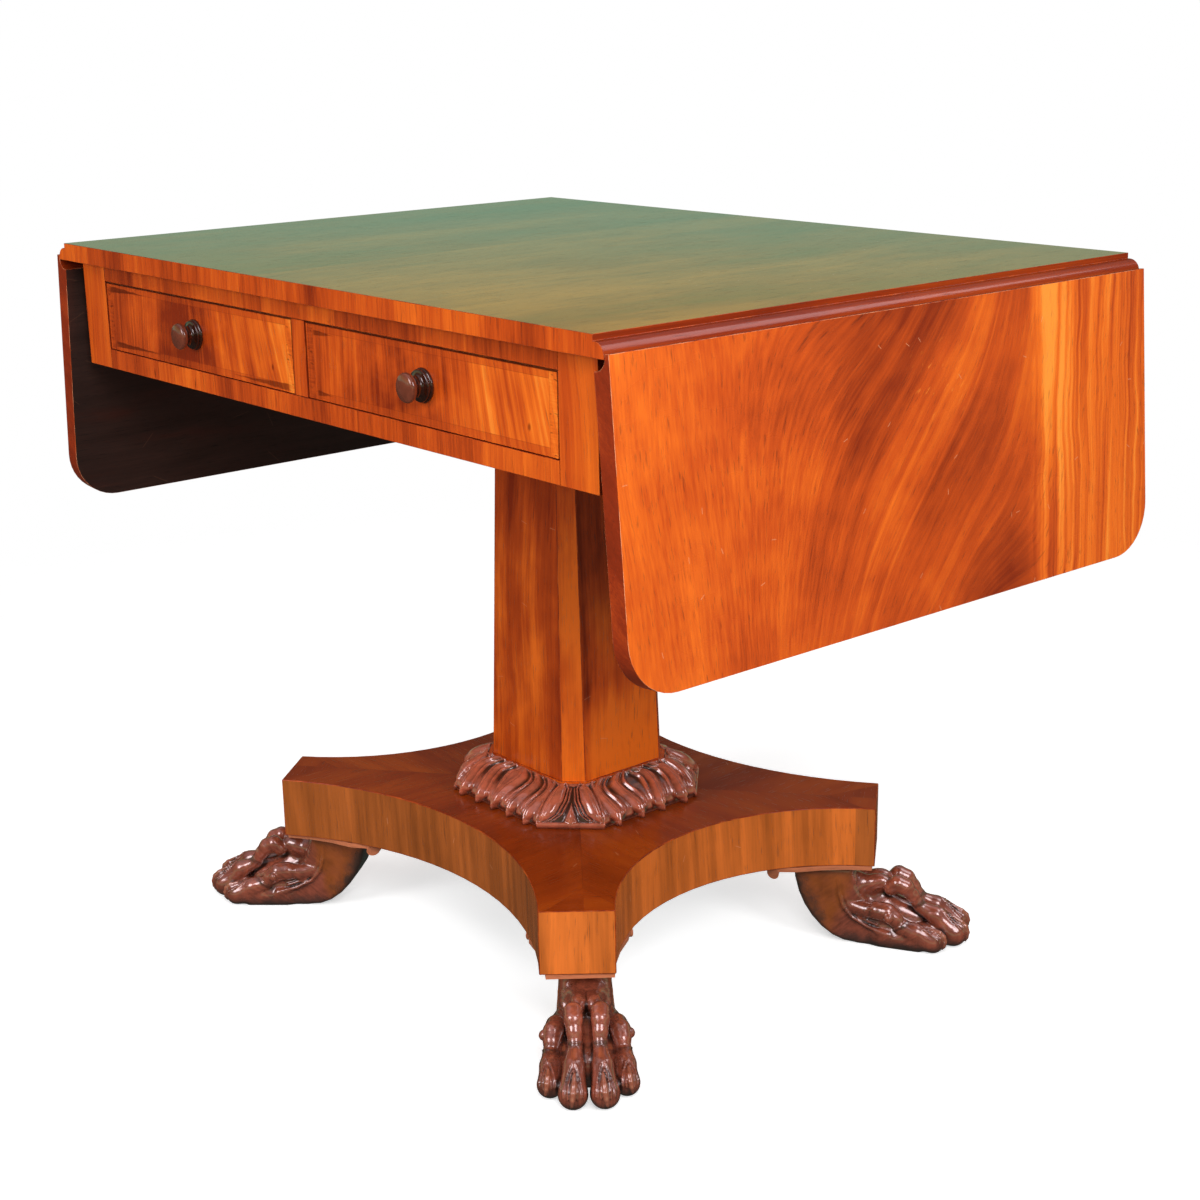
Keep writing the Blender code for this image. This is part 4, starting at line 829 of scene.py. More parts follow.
def outline_field(s, z, corners):
    """Signed distance to a closed outline in the s, z plane."""
    corners = np.array(corners)
    nearest = np.full(s.shape, 1e9)
    inside = np.zeros(s.shape, dtype=bool)
    for (s0, z0), (s1, z1) in zip(corners, np.roll(corners, -1, axis=0)):
        ds, dz = s1 - s0, z1 - z0
        share = np.clip(((s - s0) * ds + (z - z0) * dz) / (ds * ds + dz * dz), 0.0, 1.0)
        nearest = np.minimum(nearest, np.hypot(s - s0 - share * ds, z - z0 - share * dz))
        crosses = (z0 > z) != (z1 > z)
        inside ^= crosses & (s < s0 + ds * (z - z0) / (dz if dz else 1e-12))
    return np.where(inside, -nearest, nearest)


# A paw foot in metres: s runs out along the arm, n aside and z up. A chain's stations are (s, n, z, radius).
PAW_TOP, PAW_SOLE = 0.0849, 0.0002
PAW_SIDE = (
    (0.2356, 0.0851), (0.2375, 0.0700), (0.2415, 0.0540), (0.2475, 0.0400), (0.2560, 0.0270),
    (0.2660, 0.0160), (0.2780, 0.0070), (0.2900, 0.0020), (0.3050, 0.0000), (0.3700, 0.0000),
    (0.3700, 0.0190), (0.3480, 0.0290), (0.3300, 0.0360), (0.3150, 0.0460), (0.3060, 0.0550),
    (0.3010, 0.0650), (0.2985, 0.0760), (0.2985, 0.0851),
)
PAW_SKIRT = (
    (0.2830, 0.0243, 0.0720, 0.0008), (0.2845, 0.0248, 0.0553, 0.0017), (0.2890, 0.0257, 0.0415, 0.0020),
    (0.2988, 0.0272, 0.0307, 0.0020), (0.3153, 0.0305, 0.0225, 0.0020), (0.3348, 0.0348, 0.0175, 0.0017),
)
PAW_HEM = (
    (0.2880, 0.0237, 0.0690, 0.0008), (0.2905, 0.0241, 0.0522, 0.0015), (0.2960, 0.0248, 0.0399, 0.0017),
    (0.3070, 0.0270, 0.0307, 0.0017), (0.3250, 0.0305, 0.0250, 0.0015),
)
PAW_CORE = ((0.3000, 0.0, 0.0420, 0.0150), (0.3300, 0.0, 0.0340, 0.0180), (0.3620, 0.0, 0.0220, 0.0160))
PAW_HEART = (
    (0.2860, 0.0045, 0.0640, 0.0110), (0.3040, 0.0055, 0.0610, 0.0100), (0.3180, 0.0064, 0.0610, 0.0088),
)
MIDDLE_TOE = (
    (0.3380, 0.0120, 0.0600, 0.0080), (0.3450, 0.0126, 0.0655, 0.0088), (0.3530, 0.0125, 0.0620, 0.0087),
    (0.3605, 0.0119, 0.0535, 0.0070), (0.3660, 0.0115, 0.0448, 0.0062), (0.3690, 0.0116, 0.0415, 0.0064),
)
MIDDLE_BALL = (0.4042, 0.0145, 0.0144)
MIDDLE_PAD = ((0.3680, 0.0116, 0.0410, 0.0064), (0.3850, 0.0130, 0.0325, 0.0096), (*MIDDLE_BALL, 0.0132))
OUTER_TOE = (
    (0.2950, 0.0180, 0.0420, 0.0085), (0.3120, 0.0240, 0.0390, 0.0080), (0.3250, 0.0285, 0.0410, 0.0090),
    (0.3350, 0.0310, 0.0405, 0.0092), (0.3430, 0.0326, 0.0350, 0.0078), (0.3490, 0.0333, 0.0285, 0.0070),
)
OUTER_BALL = (0.3835, 0.0352, 0.0130)
OUTER_PAD = ((0.3505, 0.0338, 0.0265, 0.0080), (0.3650, 0.0346, 0.0215, 0.0098), (*OUTER_BALL, 0.0115))
# Neck and ball of each pad once melted together, and the degrees that it turns out by
PADS = (
    ((0.3850, 0.0130, 0.0325, 0.0103), (*MIDDLE_BALL, 0.0147), 2),
    ((0.3650, 0.0346, 0.0215, 0.0105), (*OUTER_BALL, 0.0130), 14),
)
# One half of each fold of skin round a claw, up to its top, as degrees up and aside on the pad
PAD_FOLDS = (
    ((8, 18), (40, 19), (62, 15), (77, 9), (83, 0)),
    ((14, 37), (48, 37), (72, 29), (90, 15), (97, 0)),
)
FOLD_GIRTH = 0.0007
CLAW = (
    (76, -4, 0.0012), (58, -4, 0.0024), (32, -2, 0.0027), (8, 1, 0.0022), (-14, 4, 0.0015), (-32, 7, 0.0007),
)


def paw_field(p):
    """Signed distance to one half of a paw foot (n from 0), and to its claws alone."""
    s, n, z = p[..., 0], p[..., 1], p[..., 2]
    side = outline_field(s, z, PAW_SIDE)
    low_down = np.clip((0.045 - z) / 0.045, 0, 1)
    across = n - (0.0248 + 0.003 * low_down + 0.010 * np.clip((s - 0.30) / 0.07, 0, 1))
    soft = 0.0055
    leg = np.minimum(np.maximum(side + soft, across + soft), 0) + np.hypot(
        np.maximum(side + soft, 0), np.maximum(across + soft, 0)) - soft
    leg = smooth_cut(leg, egg(p, (0.3200, 0.0320, 0.0440), (0.0215, 0.0120, 0.0120), 14), 0.0030)
    for edge in (PAW_SKIRT, PAW_HEM):
        leg = smooth_union(leg, chain(p, edge, 0.001), 0.0014)
    leg = smooth_union(leg, chain(p, PAW_CORE, 0.006), 0.004)
    heart = chain(p, PAW_HEART, 0.005)
    heart = smooth_union(heart, egg(p, (0.3255, 0.0068, 0.0640), (0.0130, 0.0084, 0.0090)), 0.0050)
    leg = smooth_union(leg, heart, 0.0100)

    middle = chain(p, MIDDLE_TOE, 0.0025)
    ring = egg(p, (0.3662, 0.0115, 0.0447), (0.0010, 0.0072, 0.0072), 58)
    middle = smooth_union(middle, ring, 0.0010)
    pad = chain(p, MIDDLE_PAD, 0.003)
    pad = smooth_union(pad, rod(p, (0.3700, 0.0140, 0.0125), MIDDLE_BALL, 0.0116, 0.0132), 0.003)
    middle = smooth_union(middle, pad, 0.0015)

    outer = chain(p, OUTER_TOE, 0.0040)
    ring = egg(p, (0.3497, 0.0335, 0.0282), (0.0010, 0.0087, 0.0087), 50, 10)
    outer = smooth_union(outer, ring, 0.0010)
    knuckle = egg(p, (0.3375, 0.0405, 0.0380), (0.0050, 0.0046, 0.0050))
    outer = smooth_union(outer, knuckle, 0.0010)
    sole = rod(p, (0.3300, 0.0270, 0.0105), OUTER_BALL, 0.0085, 0.0115)
    leg = smooth_union(leg, sole, 0.009)
    pad = smooth_union(chain(p, OUTER_PAD, 0.003), sole, 0.003)
    outer = smooth_union(outer, pad, 0.0014)

    paw = smooth_union(leg, middle, 0.0016)
    paw = smooth_union(paw, outer, 0.0014)
    claws = np.full(s.shape, 1.0)
    for neck, ball, turn in PADS:
        for half in PAD_FOLDS:
            arch = half + tuple((up, -aside) for up, aside in half[-2::-1])
            fold = on_pad(neck, ball, turn, [(*place, FOLD_GIRTH) for place in arch])
            paw = smooth_union(paw, chain(p, fold, 0.0008), 0.0016)
        claws = np.minimum(claws, chain(p, on_pad(neck, ball, turn, CLAW), 0.001))
    paw = smooth_union(paw, claws, 0.0007)
    paw = np.maximum(paw, PAW_SOLE - z)
    return np.maximum(paw, z - PAW_TOP), claws


def skin(field, low, step):
    """Points and quads of the zero level of a field on a grid, one point in each crossed cell."""
    cells = tuple(size - 1 for size in field.shape)
    total, count = np.zeros((*cells, 3)), np.zeros(cells)
    for axis in range(3):
        run = np.eye(3, dtype=int)[axis]
        others = [np.eye(3, dtype=int)[other] for other in range(3) if other != axis]
        for shift in (0 * run, others[0], others[1], others[0] + others[1]):
            a = field[tuple(slice(k, k + size) for k, size in zip(shift, cells))]
            b = field[tuple(slice(k, k + size) for k, size in zip(shift + run, cells))]
            crossed = (a < 0) != (b < 0)
            share = np.where(crossed, a / np.where(crossed, a - b, 1.0), 0.0)
            total += crossed[..., None] * (shift + share[..., None] * run)
            count += crossed
    used = count > 0
    number = np.full(cells, -1)
    number[used] = np.arange(used.sum())
    points = np.array(low) + (np.argwhere(used) + total[used] / count[used][:, None]) * step
    quads = []
    for axis in range(3):
        second, third = (axis + 1) % 3, (axis + 2) % 3
        inner = [slice(1, -1)] * 3
        first_end, last_end = list(inner), list(inner)
        first_end[axis], last_end[axis] = slice(0, -1), slice(1, None)
        a, b = field[tuple(first_end)], field[tuple(last_end)]
        crossed = np.argwhere((a < 0) != (b < 0))
        outward = a[tuple(crossed.T)] < 0
        crossed += np.array([0 if k == axis else 1 for k in range(3)])
        back2, back3 = np.eye(3, dtype=int)[second], np.eye(3, dtype=int)[third]
        loop = [crossed - back2 - back3, crossed - back3, crossed, crossed - back2]
        loop = np.stack([number[tuple(cell.T)] for cell in loop], 1)
        quads.append(np.where(outward[:, None], loop, loop[:, ::-1]))
    return points, np.concatenate(quads)


def sampled(field, low, step, points):
    """A gridded field read between its grid points."""
    place = (points - np.array(low)) / step
    cell = np.clip(place.astype(int), 0, np.array(field.shape) - 2)
    share = np.clip(place - cell, 0.0, 1.0)
    value = 0.0
    for corner in np.ndindex(2, 2, 2):
        weight = np.prod(np.where(np.array(corner), share, 1 - share), axis=1)
        value = value + weight * field[tuple((cell + corner).T)]
    return value


def carved_paw(step):
    """Points, quads, depth of hollow and share of claw of one paw in its own s, n, z."""
    half_width, claw_edge = 0.0560, 0.0008
    half = int(round(half_width / step))
    low = np.array((0.2270, -half * step, -0.0030))
    axes = [np.arange(low[0], 0.4320, step), np.arange(half + 1) * step, np.arange(low[2], 0.0880, step)]
    field, claws = paw_field(np.stack(np.meshgrid(*axes, indexing="ij"), -1))
    field, claws = (np.concatenate([made[:, :0:-1], made], 1) for made in (field, claws))
    points, quads = skin(field, low, step)
    slope = np.stack(np.gradient(field, step), -1)
    normal = np.stack([sampled(slope[..., k], low, step, points) for k in range(3)], 1)
    normal /= np.maximum(np.linalg.norm(normal, axis=1, keepdims=True), 1e-9)
    hollow = 0.0
    for reach in (0.0022, 0.0045):
        hollow = hollow + 0.5 * (1 - sampled(field, low, step, points + normal * reach) / reach)
    claw = np.clip(1 - sampled(claws, low, step, points) / claw_edge, 0.0, 1.0)
    return points, quads, np.clip(hollow, -0.3, 1.0), claw


def ridge(distance, width):
    return np.exp(-((distance / width) ** 2))


def corner_leaf(p, t, wide):
    """Relief of a collar's corner leaf: two domed lobes about a parted stem.

    Across it p runs from 0 at the stem to 1 at the edge, and down it t runs from 0 to 1.
    """
    inner = np.interp(t, (0.0, 0.20, 0.55, 0.78, 0.90, 0.97), (0.40, 0.26, 0.30, 0.46, 0.66, 0.93))
    outer = np.interp(t, (0.0, 0.20, 0.45, 1.0), (0.62, 0.80, 0.90, 0.97))
    share = np.clip((p - inner) / np.maximum(outer - inner, 0.02), 0, 1)
    rise = np.sin(math.pi * np.clip(t + 0.02, 0, 1)) ** 0.5
    dome = np.sqrt(np.clip(1 - (2 * share - 1) ** 2, 0, 1))
    lobe = 0.0064 * dome * rise - 0.0008 * ridge(share - 0.66, 0.06)
    rim = 0.0036 * ridge((p - inner + 0.07) * wide, 0.0011)
    line = 0.0028 * ridge((p - inner + 0.19) * wide, 0.0010) * (p < inner) * np.clip((t - 0.1) / 0.2, 0, 1)
    border = 0.0038 * ridge((p - 0.98) * wide, 0.0014)
    fleur_half = 0.0085 * np.clip((t - 0.60) / 0.34, 0.02, 1)
    fleur = 0.0040 * np.clip(1 - p * wide / fleur_half, 0, 1) ** 0.7 * (t > 0.60)
    foot = 0.0036 * np.clip((t - 0.945) / 0.02, 0, 1)
    return np.maximum.reduce([lobe, rim, line, border, fleur, foot])


def side_leaf(x, t, half, count):
    """Relief of the curling leaves along a collar's side: each a broad roll and a thin rim.

    They lean from the side's middle, where x is 0, and down them t runs from 0 to 1.
    """
    away = np.tanh(x / 0.008)
    sway = away * (0.0058 * np.sin(2 * math.pi * (t * 0.9 - 0.08)) + 0.0030 * t)
    place = (x - sway) / (2 * half / count) + (0.5 if count % 2 == 0 else 0.0)
    off = (place - np.round(place)) * 2 * np.where(away < 0, -1, 1)
    reach = 1 - 0.72 * np.clip((t - 0.74) / 0.25, 0, 1) ** 1.4
    within = np.clip((reach - np.abs(off)) / 0.16, 0, 1)
    roll = 0.0052 * ridge(off - 0.22, 0.46) - 0.0012 * ridge(off - 0.18, 0.07)
    rim = 0.0040 * ridge(off + 0.62, 0.15)
    curl = 0.0036 * np.clip((t - 0.55) / 0.35, 0, 1) * (1 - np.abs(off))
    under = 0.0024 * np.clip(1 - ((1 - np.abs(off)) / 0.5) ** 2, 0, 1) * np.clip((t - 0.45) / 0.25, 0, 1)
    under = under * np.clip((1.0 - t) / 0.06, 0, 1)
    return np.maximum((np.maximum(roll, rim) + curl) * within, under) * (0.6 + 0.4 * np.clip(t / 0.3, 0, 1))


def carved_collar(base, relief):
    """Points, quads and depth of hollow of the carved ring round the column's foot."""
    shares = np.array(((0.03, 1.26), (0.12, 1.10), (0.30, 0.98), (0.62, 0.74), (0.91, 0.36), (1.0, 0.0)))
    fine = np.linspace(0, 1, 74)
    place = np.linspace(0, 1, len(shares))
    across, tall = np.interp(fine, place, shares[:, 0]), np.interp(fine, place, shares[:, 1])
    kernel = np.ones(9) / 9
    across[4:-4], tall[4:-4] = np.convolve(across, kernel, "valid"), np.convolve(tall, kernel, "valid")
    number, share = [], []
    for facet in range(8):
        steps = 164 if facet % 2 == 0 else 100
        number += [facet] * steps
        share += [step / steps for step in range(steps)]
    number, share = np.array(number), np.array(share)

    def ring(off, rise):
        x, y, cant = 0.0795 + off, 0.0727 + off, 0.0175 + 0.81 * off
        corners = np.array(((-x + cant, -y), (x - cant, -y), (x, -y + cant), (x, y - cant), (x - cant, y),
                            (-x + cant, y), (-x, y - cant), (-x, -y + cant)))
        start, end = corners[number], corners[(number + 1) % 8]
        plan = start + (end - start) * share[:, None]
        return np.column_stack([plan, np.full(len(plan), rise)]), np.linalg.norm(end - start, axis=1) / 2

    rings = [ring(0.0405 * off, 0.004 + 0.026 * rise) for off, rise in zip(across, tall)]
    points, half = np.stack([made for made, _ in rings]), np.stack([wide for _, wide in rings])
    along = (share - 0.5) * 2 * half
    t = np.repeat(fine[:, None], len(number), 1)
    is_corner, lap = number % 2 == 1, 0.010 * (1 - t)
    corner_half = half[:, is_corner][:, :1]
    from_stem = np.where(is_corner, np.abs(along), corner_half + half - np.abs(along))
    wide = corner_half + lap
    sides = np.where(number % 4 == 0, side_leaf(along, t, half - lap, 5), side_leaf(along, t, half - lap, 4))
    lift = np.where(from_stem < wide, corner_leaf(from_stem / wide, t, wide), sides)
    normal = np.cross(np.gradient(points, axis=0), np.roll(points, -1, 1) - np.roll(points, 1, 1))
    normal /= np.maximum(np.linalg.norm(normal, axis=2, keepdims=True), 1e-9)
    points = points + normal * (lift * relief - 0.0030)[..., None]
    points[-1, :, 2] = np.minimum(points[-1, :, 2], 0.004)
    foot = points[-1] * (1, 1, 0)
    below, _ = ring(0.0006, 0.0)
    above = below + points[0] * (0, 0, 1)
    points = np.concatenate([points, foot[None], below[None], above[None]])
    rows, wide = points.shape[:2]
    index = np.arange(rows * wide).reshape(rows, wide)
    ahead = np.roll(index, -1, 1)
    quads = np.stack([index, np.roll(index, -1, 0), np.roll(ahead, -1, 0), ahead], -1).reshape(-1, 4)
    hollow = np.zeros((rows, wide))
    hollow[:-3] = np.clip(0.85 - lift / 0.0036, -0.3, 0.75)
    return points.reshape(-1, 3) + np.array((0.0, 0.0, base)), quads, hollow.ravel()


def screw_tree():
    """Node tree that sets a slotted screw head on each point, turned as the point says."""
    tree = bpy.data.node_groups.new("slotted_screws", "GeometryNodeTree")
    face = tree.interface
    face.new_socket("Geometry", in_out="OUTPUT", socket_type="NodeSocketGeometry")
    face.new_socket("Geometry", in_out="INPUT", socket_type="NodeSocketGeometry")
    for name, default in (("Head radius", 0.0035), ("Head height", 0.0006), ("Slot width", 0.0008)):
        face.new_socket(name, in_out="INPUT", socket_type="NodeSocketFloat").default_value = default
    face.new_socket("Steel", in_out="INPUT", socket_type="NodeSocketMaterial")
    node = Nodes(tree).node
    places = node("NodeGroupInput")
    radius, height, slot_width, steel = (
        places.other(name) for name in ("Head radius", "Head height", "Slot width", "Steel"))
    head = node("GeometryNodeMeshCylinder", {}, {"Vertices": 24, "Radius": radius, "Depth": height})
    size = node("ShaderNodeCombineXYZ", {}, {0: 0.02, 1: slot_width, 2: height})
    lift = node("ShaderNodeCombineXYZ", {}, {2: height})
    slot = node("GeometryNodeMeshCube", {}, {"Size": size})
    raised = node("GeometryNodeTransform", {}, {"Geometry": slot, "Translation": lift})
    cut = node("GeometryNodeMeshBoolean", {"operation": "DIFFERENCE"}, {0: head, 1: raised})
    spots = node("GeometryNodeMeshToPoints", {}, {0: places})
    turn = node("GeometryNodeInputNamedAttribute", {"data_type": "FLOAT_VECTOR"}, {"Name": "turn"})
    placed = node("GeometryNodeInstanceOnPoints", {}, {"Points": spots, "Instance": cut, "Rotation": turn})
    real = node("GeometryNodeRealizeInstances", {}, {0: placed})
    coloured = node("GeometryNodeSetMaterial", {}, {"Geometry": real, "Material": steel})
    node("NodeGroupOutput", {}, {0: coloured})
    return tree


def set_screws(tree, body, places):
    """Screw heads on one body at places of (point, direction that the head faces)."""
    mesh = bpy.data.meshes.new("screw_places")
    mesh.from_pydata([point for point, _ in places], [], [])
    turns = [Vector(way).to_track_quat("Z", "Y") for _, way in places]
    step = 0.9
    turns = [turn @ Matrix.Rotation(step * k, 3, "Z").to_quaternion() for k, turn in enumerate(turns)]
    mark_points(mesh, "turn", np.array([tuple(turn.to_euler()) for turn in turns]))
    piece = bpy.data.objects.new("screw_places", mesh)
    bpy.context.scene.collection.objects.link(piece)
    modifier = piece.modifiers.new("screws", "NODES")
    modifier.node_group = tree
    sockets = {item.name: item.identifier for item in tree.interface.items_tree if item.in_out == "INPUT"}
    modifier[sockets["Steel"]] = finish(screw_steel)
    return place_piece("hinge_screws_" + body, made_plain(piece), body)


# Properties


def colour_property(name, description, default):
    return bpy.props.FloatVectorProperty(
        name=name, description=description, default=default, size=3, min=0.0, max=1.0, subtype="COLOR")


def place_property(name, description, default):
    return bpy.props.FloatVectorProperty(
        name=name, description=description, default=default, size=3, subtype="XYZ", unit="LENGTH")


def number_property(name, description, default, **kind):
    """A number with its limits, unit or subtype."""
    return bpy.props.FloatProperty(name=name, description=description, default=default, **kind)


class TableWoods(bpy.types.PropertyGroup):
    """Colours and gloss of the woods and metals."""

    dark: colour_property("Dark figure", "Darkest tone of the mahogany's figure", (0.235, 0.023, 0.0035))
    middle: colour_property("Middle tone", "Ground tone of the mahogany", (0.56, 0.073, 0.0065))
    light: colour_property("Light ribbon", "Lightest tone of the mahogany's ribbons", (0.84, 0.155, 0.011))
    bright: colour_property("Bright ribbon", "Brightest of the mahogany's ribbons", (0.98, 0.30, 0.035))
    brown: colour_property("Brown veneer", "Ground tone of the platform's sides", (0.52, 0.122, 0.018))
    worn: colour_property("Rubbed edge", "Mahogany where the polish is rubbed away", (0.82, 0.37, 0.19))
    carving: colour_property("Carving", "Stained wood of the paws and the collar", (0.31, 0.071, 0.037))
    claw: colour_property("Claws", "Rubbed wood of the claws", (0.42, 0.13, 0.07))
    plate: colour_property("Foot plates", "Edge of the plates above the paws", (0.55, 0.17, 0.075))
    knob: colour_property("Knobs", "Dark turned wood of the knobs", (0.15, 0.036, 0.018))
    lining: colour_property("Linings", "Plain timber inside the frame", (0.44, 0.23, 0.10))
    brass: colour_property("Brass", "Metal of the hinges", (0.72, 0.48, 0.17))
    roughness: number_property("Polish roughness", "Roughness of the polished faces", 0.22, min=0.02, max=1.0)
    top_roughness: number_property("Top roughness", "Roughness of the bed's top", 0.13, min=0.02, max=1.0)


class TableShapes(bpy.types.PropertyGroup):
    """Sizes of the fine shapes."""

    arris: number_property("Edge rounding", "Width of the softened edges", 0.0006, unit="LENGTH")
    leaf_arris: number_property(
        "Leaf edge rounding", "Width of the leaves' rubbed edges", 0.0012, unit="LENGTH")
    paw_step: number_property("Paw detail", "Spacing of the points on a carved paw", 0.00105, unit="LENGTH")
    collar_relief: number_property(
        "Collar relief", "Depth of the collar's leaves, 1 as carved", 1.0, min=0.0, max=1.5)


class TableStage(bpy.types.PropertyGroup):
    """Camera and light."""

    camera_place: place_property("Camera place", "Where the camera stands", (1.5513, -1.2717, 0.9604))
    camera_target: place_property("Camera target", "What the camera looks at", (0.0178, 0.0211, 0.3592))
    camera_roll: number_property(
        "Camera roll", "Tilt of the camera about its axis", math.radians(-0.9832), subtype="ANGLE")
    lens: number_property("Lens", "Focal length on a 36 mm sensor", 59.92, unit="CAMERA")
    key_power: number_property("Key light", "Power of the soft light at the front", 22.0, unit="POWER")
    side_power: number_property("Side light", "Power of the soft light at the right", 21.0, unit="POWER")
    fill_power: number_property("Fill light", "Power of the soft light at the left", 33.0, unit="POWER")
    back_power: number_property("Back light", "Power of the soft light at the back", 16.0, unit="POWER")
    glint_power: number_property("Glints", "Power of the lights that the polish mirrors", 20.0, unit="POWER")
    sky: number_property("Even light", "Strength of the light from all round", 0.34, min=0.0)


# Operators


class TABLE_OT_bed(bpy.types.Operator):
    """Dress the fixed bed of the top"""

    bl_idname = "table.bed"
    bl_label = "Bed"

    def execute(self, context):
        def choose(normal, centre):
            if abs(normal.z) > 0.97 and abs(centre.x) < 0.4:
                return 0 if normal.z > 0 else 3
            return 1 if abs(normal.y) > 0.9 else 2

        finishes = (bed_face, bed_edge, rule_moulding, underside)
        dressed_board("table_top", finishes, choose, context.scene.table_shapes.arris)
        return {"FINISHED"}


class TABLE_OT_leaves(bpy.types.Operator):
    """Dress the two hanging leaves"""

    bl_idname = "table.leaves"
    bl_label = "Leaves"

    def execute(self, context):
        for side in SIDES:
            outward = 1 if side == "right" else -1

            def choose(normal, centre):
                if normal.x * outward > 0.95:
                    return 0
                return 2 if normal.x * outward < -0.95 else 1

            dressed_board("leaf_" + side, (leaf_face, leaf_edge, underside), choose,
                          context.scene.table_shapes.leaf_arris, arris_worn)
        return {"FINISHED"}


class TABLE_OT_frieze(bpy.types.Operator):
    """Dress the rails and stiles of the frieze"""

    bl_idname = "table.frieze"
    bl_label = "Frieze"

    def execute(self, context):
        for node, make in (("front_top_rail", frieze_upper), ("front_bottom_rail", frieze_lower),
                           ("centre_stile", stile_face), ("end_stile_left", stile_face),
                           ("end_stile_right", stile_face)):
            dressed_board(node, (make, frieze_plain), front_face, arris=0.0004)
        for node, slot in (("rear_rail", "veneered_mahogany"), ("side_rail_left", "plain_wood"),
                           ("side_rail_right", "plain_wood")):
            dressed_board(node, (frieze_plain,), any_face)
        return {"FINISHED"}


class TABLE_OT_drawers(bpy.types.Operator):
    """Dress the two drawers and turn their knobs"""

    bl_idname = "table.drawers"
    bl_label = "Drawers"

    def execute(self, context):
        profile = knob_profile()
        for side, veneer in zip(SIDES, (drawer_veneer_left, drawer_veneer_right)):
            front, knob = f"drawer_{side}_front", f"drawer_{side}_knob"
            dressed_board(front, (veneer, inside_wood), front_face, arris=0.0005)
            for part in ("side_inner", "side_outer", "back", "bottom"):
                wear_slot(f"drawer_{side}_{part}", inside_wood)
            points, quads = turned(profile)
            low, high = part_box(knob)
            points += np.array(((low.x + high.x) / 2, low.y, (low.z + high.z) / 2))
            mesh = grid_mesh("knob", points, quads, (knob_wood,))
            seal_mesh(mesh)
            place_piece(f"knob_{side}", mesh, BODY_OF[knob], (knob,))
        return {"FINISHED"}


class TABLE_OT_column(bpy.types.Operator):
    """Dress the pedestal column"""

    bl_idname = "table.column"
    bl_label = "Column"

    def execute(self, context):
        def choose(normal, centre):
            if abs(normal.y) > 0.9:
                return 0
            return 1 if abs(normal.x) > 0.9 else 2

        finishes = (column_front, column_side, column_cant)
        arris = context.scene.table_shapes.arris
        dressed_board("pedestal_column", finishes, choose, arris)
        return {"FINISHED"}


class TABLE_OT_collar(bpy.types.Operator):
    """Carve the collar round the column's foot"""

    bl_idname = "table.collar"
    bl_label = "Collar"

    def execute(self, context):
        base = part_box("collar_front")[0].z
        points, quads, hollow = carved_collar(base, context.scene.table_shapes.collar_relief)
        mesh = grid_mesh("collar", points, quads, (collar_carving,))
        mark_points(mesh, "hollow", hollow)
        mark_points(mesh, "claw", np.zeros(len(points)))
        nodes = ["collar_" + side for side in ("front", "rear", "left", "right")]
        place_piece("carved_collar", mesh, BODY_OF["collar_front"], nodes)
        return {"FINISHED"}


class TABLE_OT_platform(bpy.types.Operator):
    """Dress the platform and the plates under its arms"""

    bl_idname = "table.platform"
    bl_label = "Platform"

    def execute(self, context):
        def choose(normal, centre):
            if abs(normal.z) > 0.9:
                return 0 if normal.z > 0 else 3
            return 2 if abs(normal.x) > abs(normal.y) else 1

        finishes = (platform_top, platform_wall_x, platform_wall_y, underside)
        dressed_board("platform", finishes, choose, arris=0.0009)
        for corner in CORNERS:
            name = "foot_plate_" + corner
            plate = dressed_board(name, (foot_plate_wood,), any_face, 0.0009, foot_plate_wood)
            self.shape_plate(plate.data.vertices, corner)
        return {"FINISHED"}

    def shape_plate(self, vertices, corner):
        """Widens a plate and sets it to one side, less so towards its rolled inner end."""
        widened, narrowed, roll_length = 0.2, 0.3, 0.03
        shift = 0.0048 if corner in ("front_left", "rear_right") else -0.0048
        x, y = foot_way(corner)
        outward, aside = Vector((x, y, 0.0)), Vector((-y, x, 0.0))
        inner_end = min(abs(outward.dot(vertex.co)) for vertex in vertices)
        for vertex in vertices:
            inner = max(1 - (abs(outward.dot(vertex.co)) - inner_end) / roll_length, 0.0)
            wider = aside.dot(vertex.co) * (widened - narrowed * inner)
            vertex.co += aside * (wider + shift * (1 - 0.4 * inner))


class TABLE_OT_paws(bpy.types.Operator):
    """Carve the four paw feet"""

    bl_idname = "table.paws"
    bl_label = "Paw feet"

    def execute(self, context):
        points, quads, hollow, claw = carved_paw(context.scene.table_shapes.paw_step)
        for corner in CORNERS:
            x, y = foot_way(corner)
            s, n, z = points.T
            placed = np.stack([s * x - n * y, s * y + n * x, z], 1)
            mesh = grid_mesh("paw_" + corner, placed, quads, (paw_carving,))
            mark_points(mesh, "carving", points)
            mark_points(mesh, "hollow", hollow)
            mark_points(mesh, "claw", claw)
            place_piece("carved_paw_" + corner, mesh, BODY_OF["paw_foot_" + corner],
                        ("paw_foot_" + corner,))
        return {"FINISHED"}


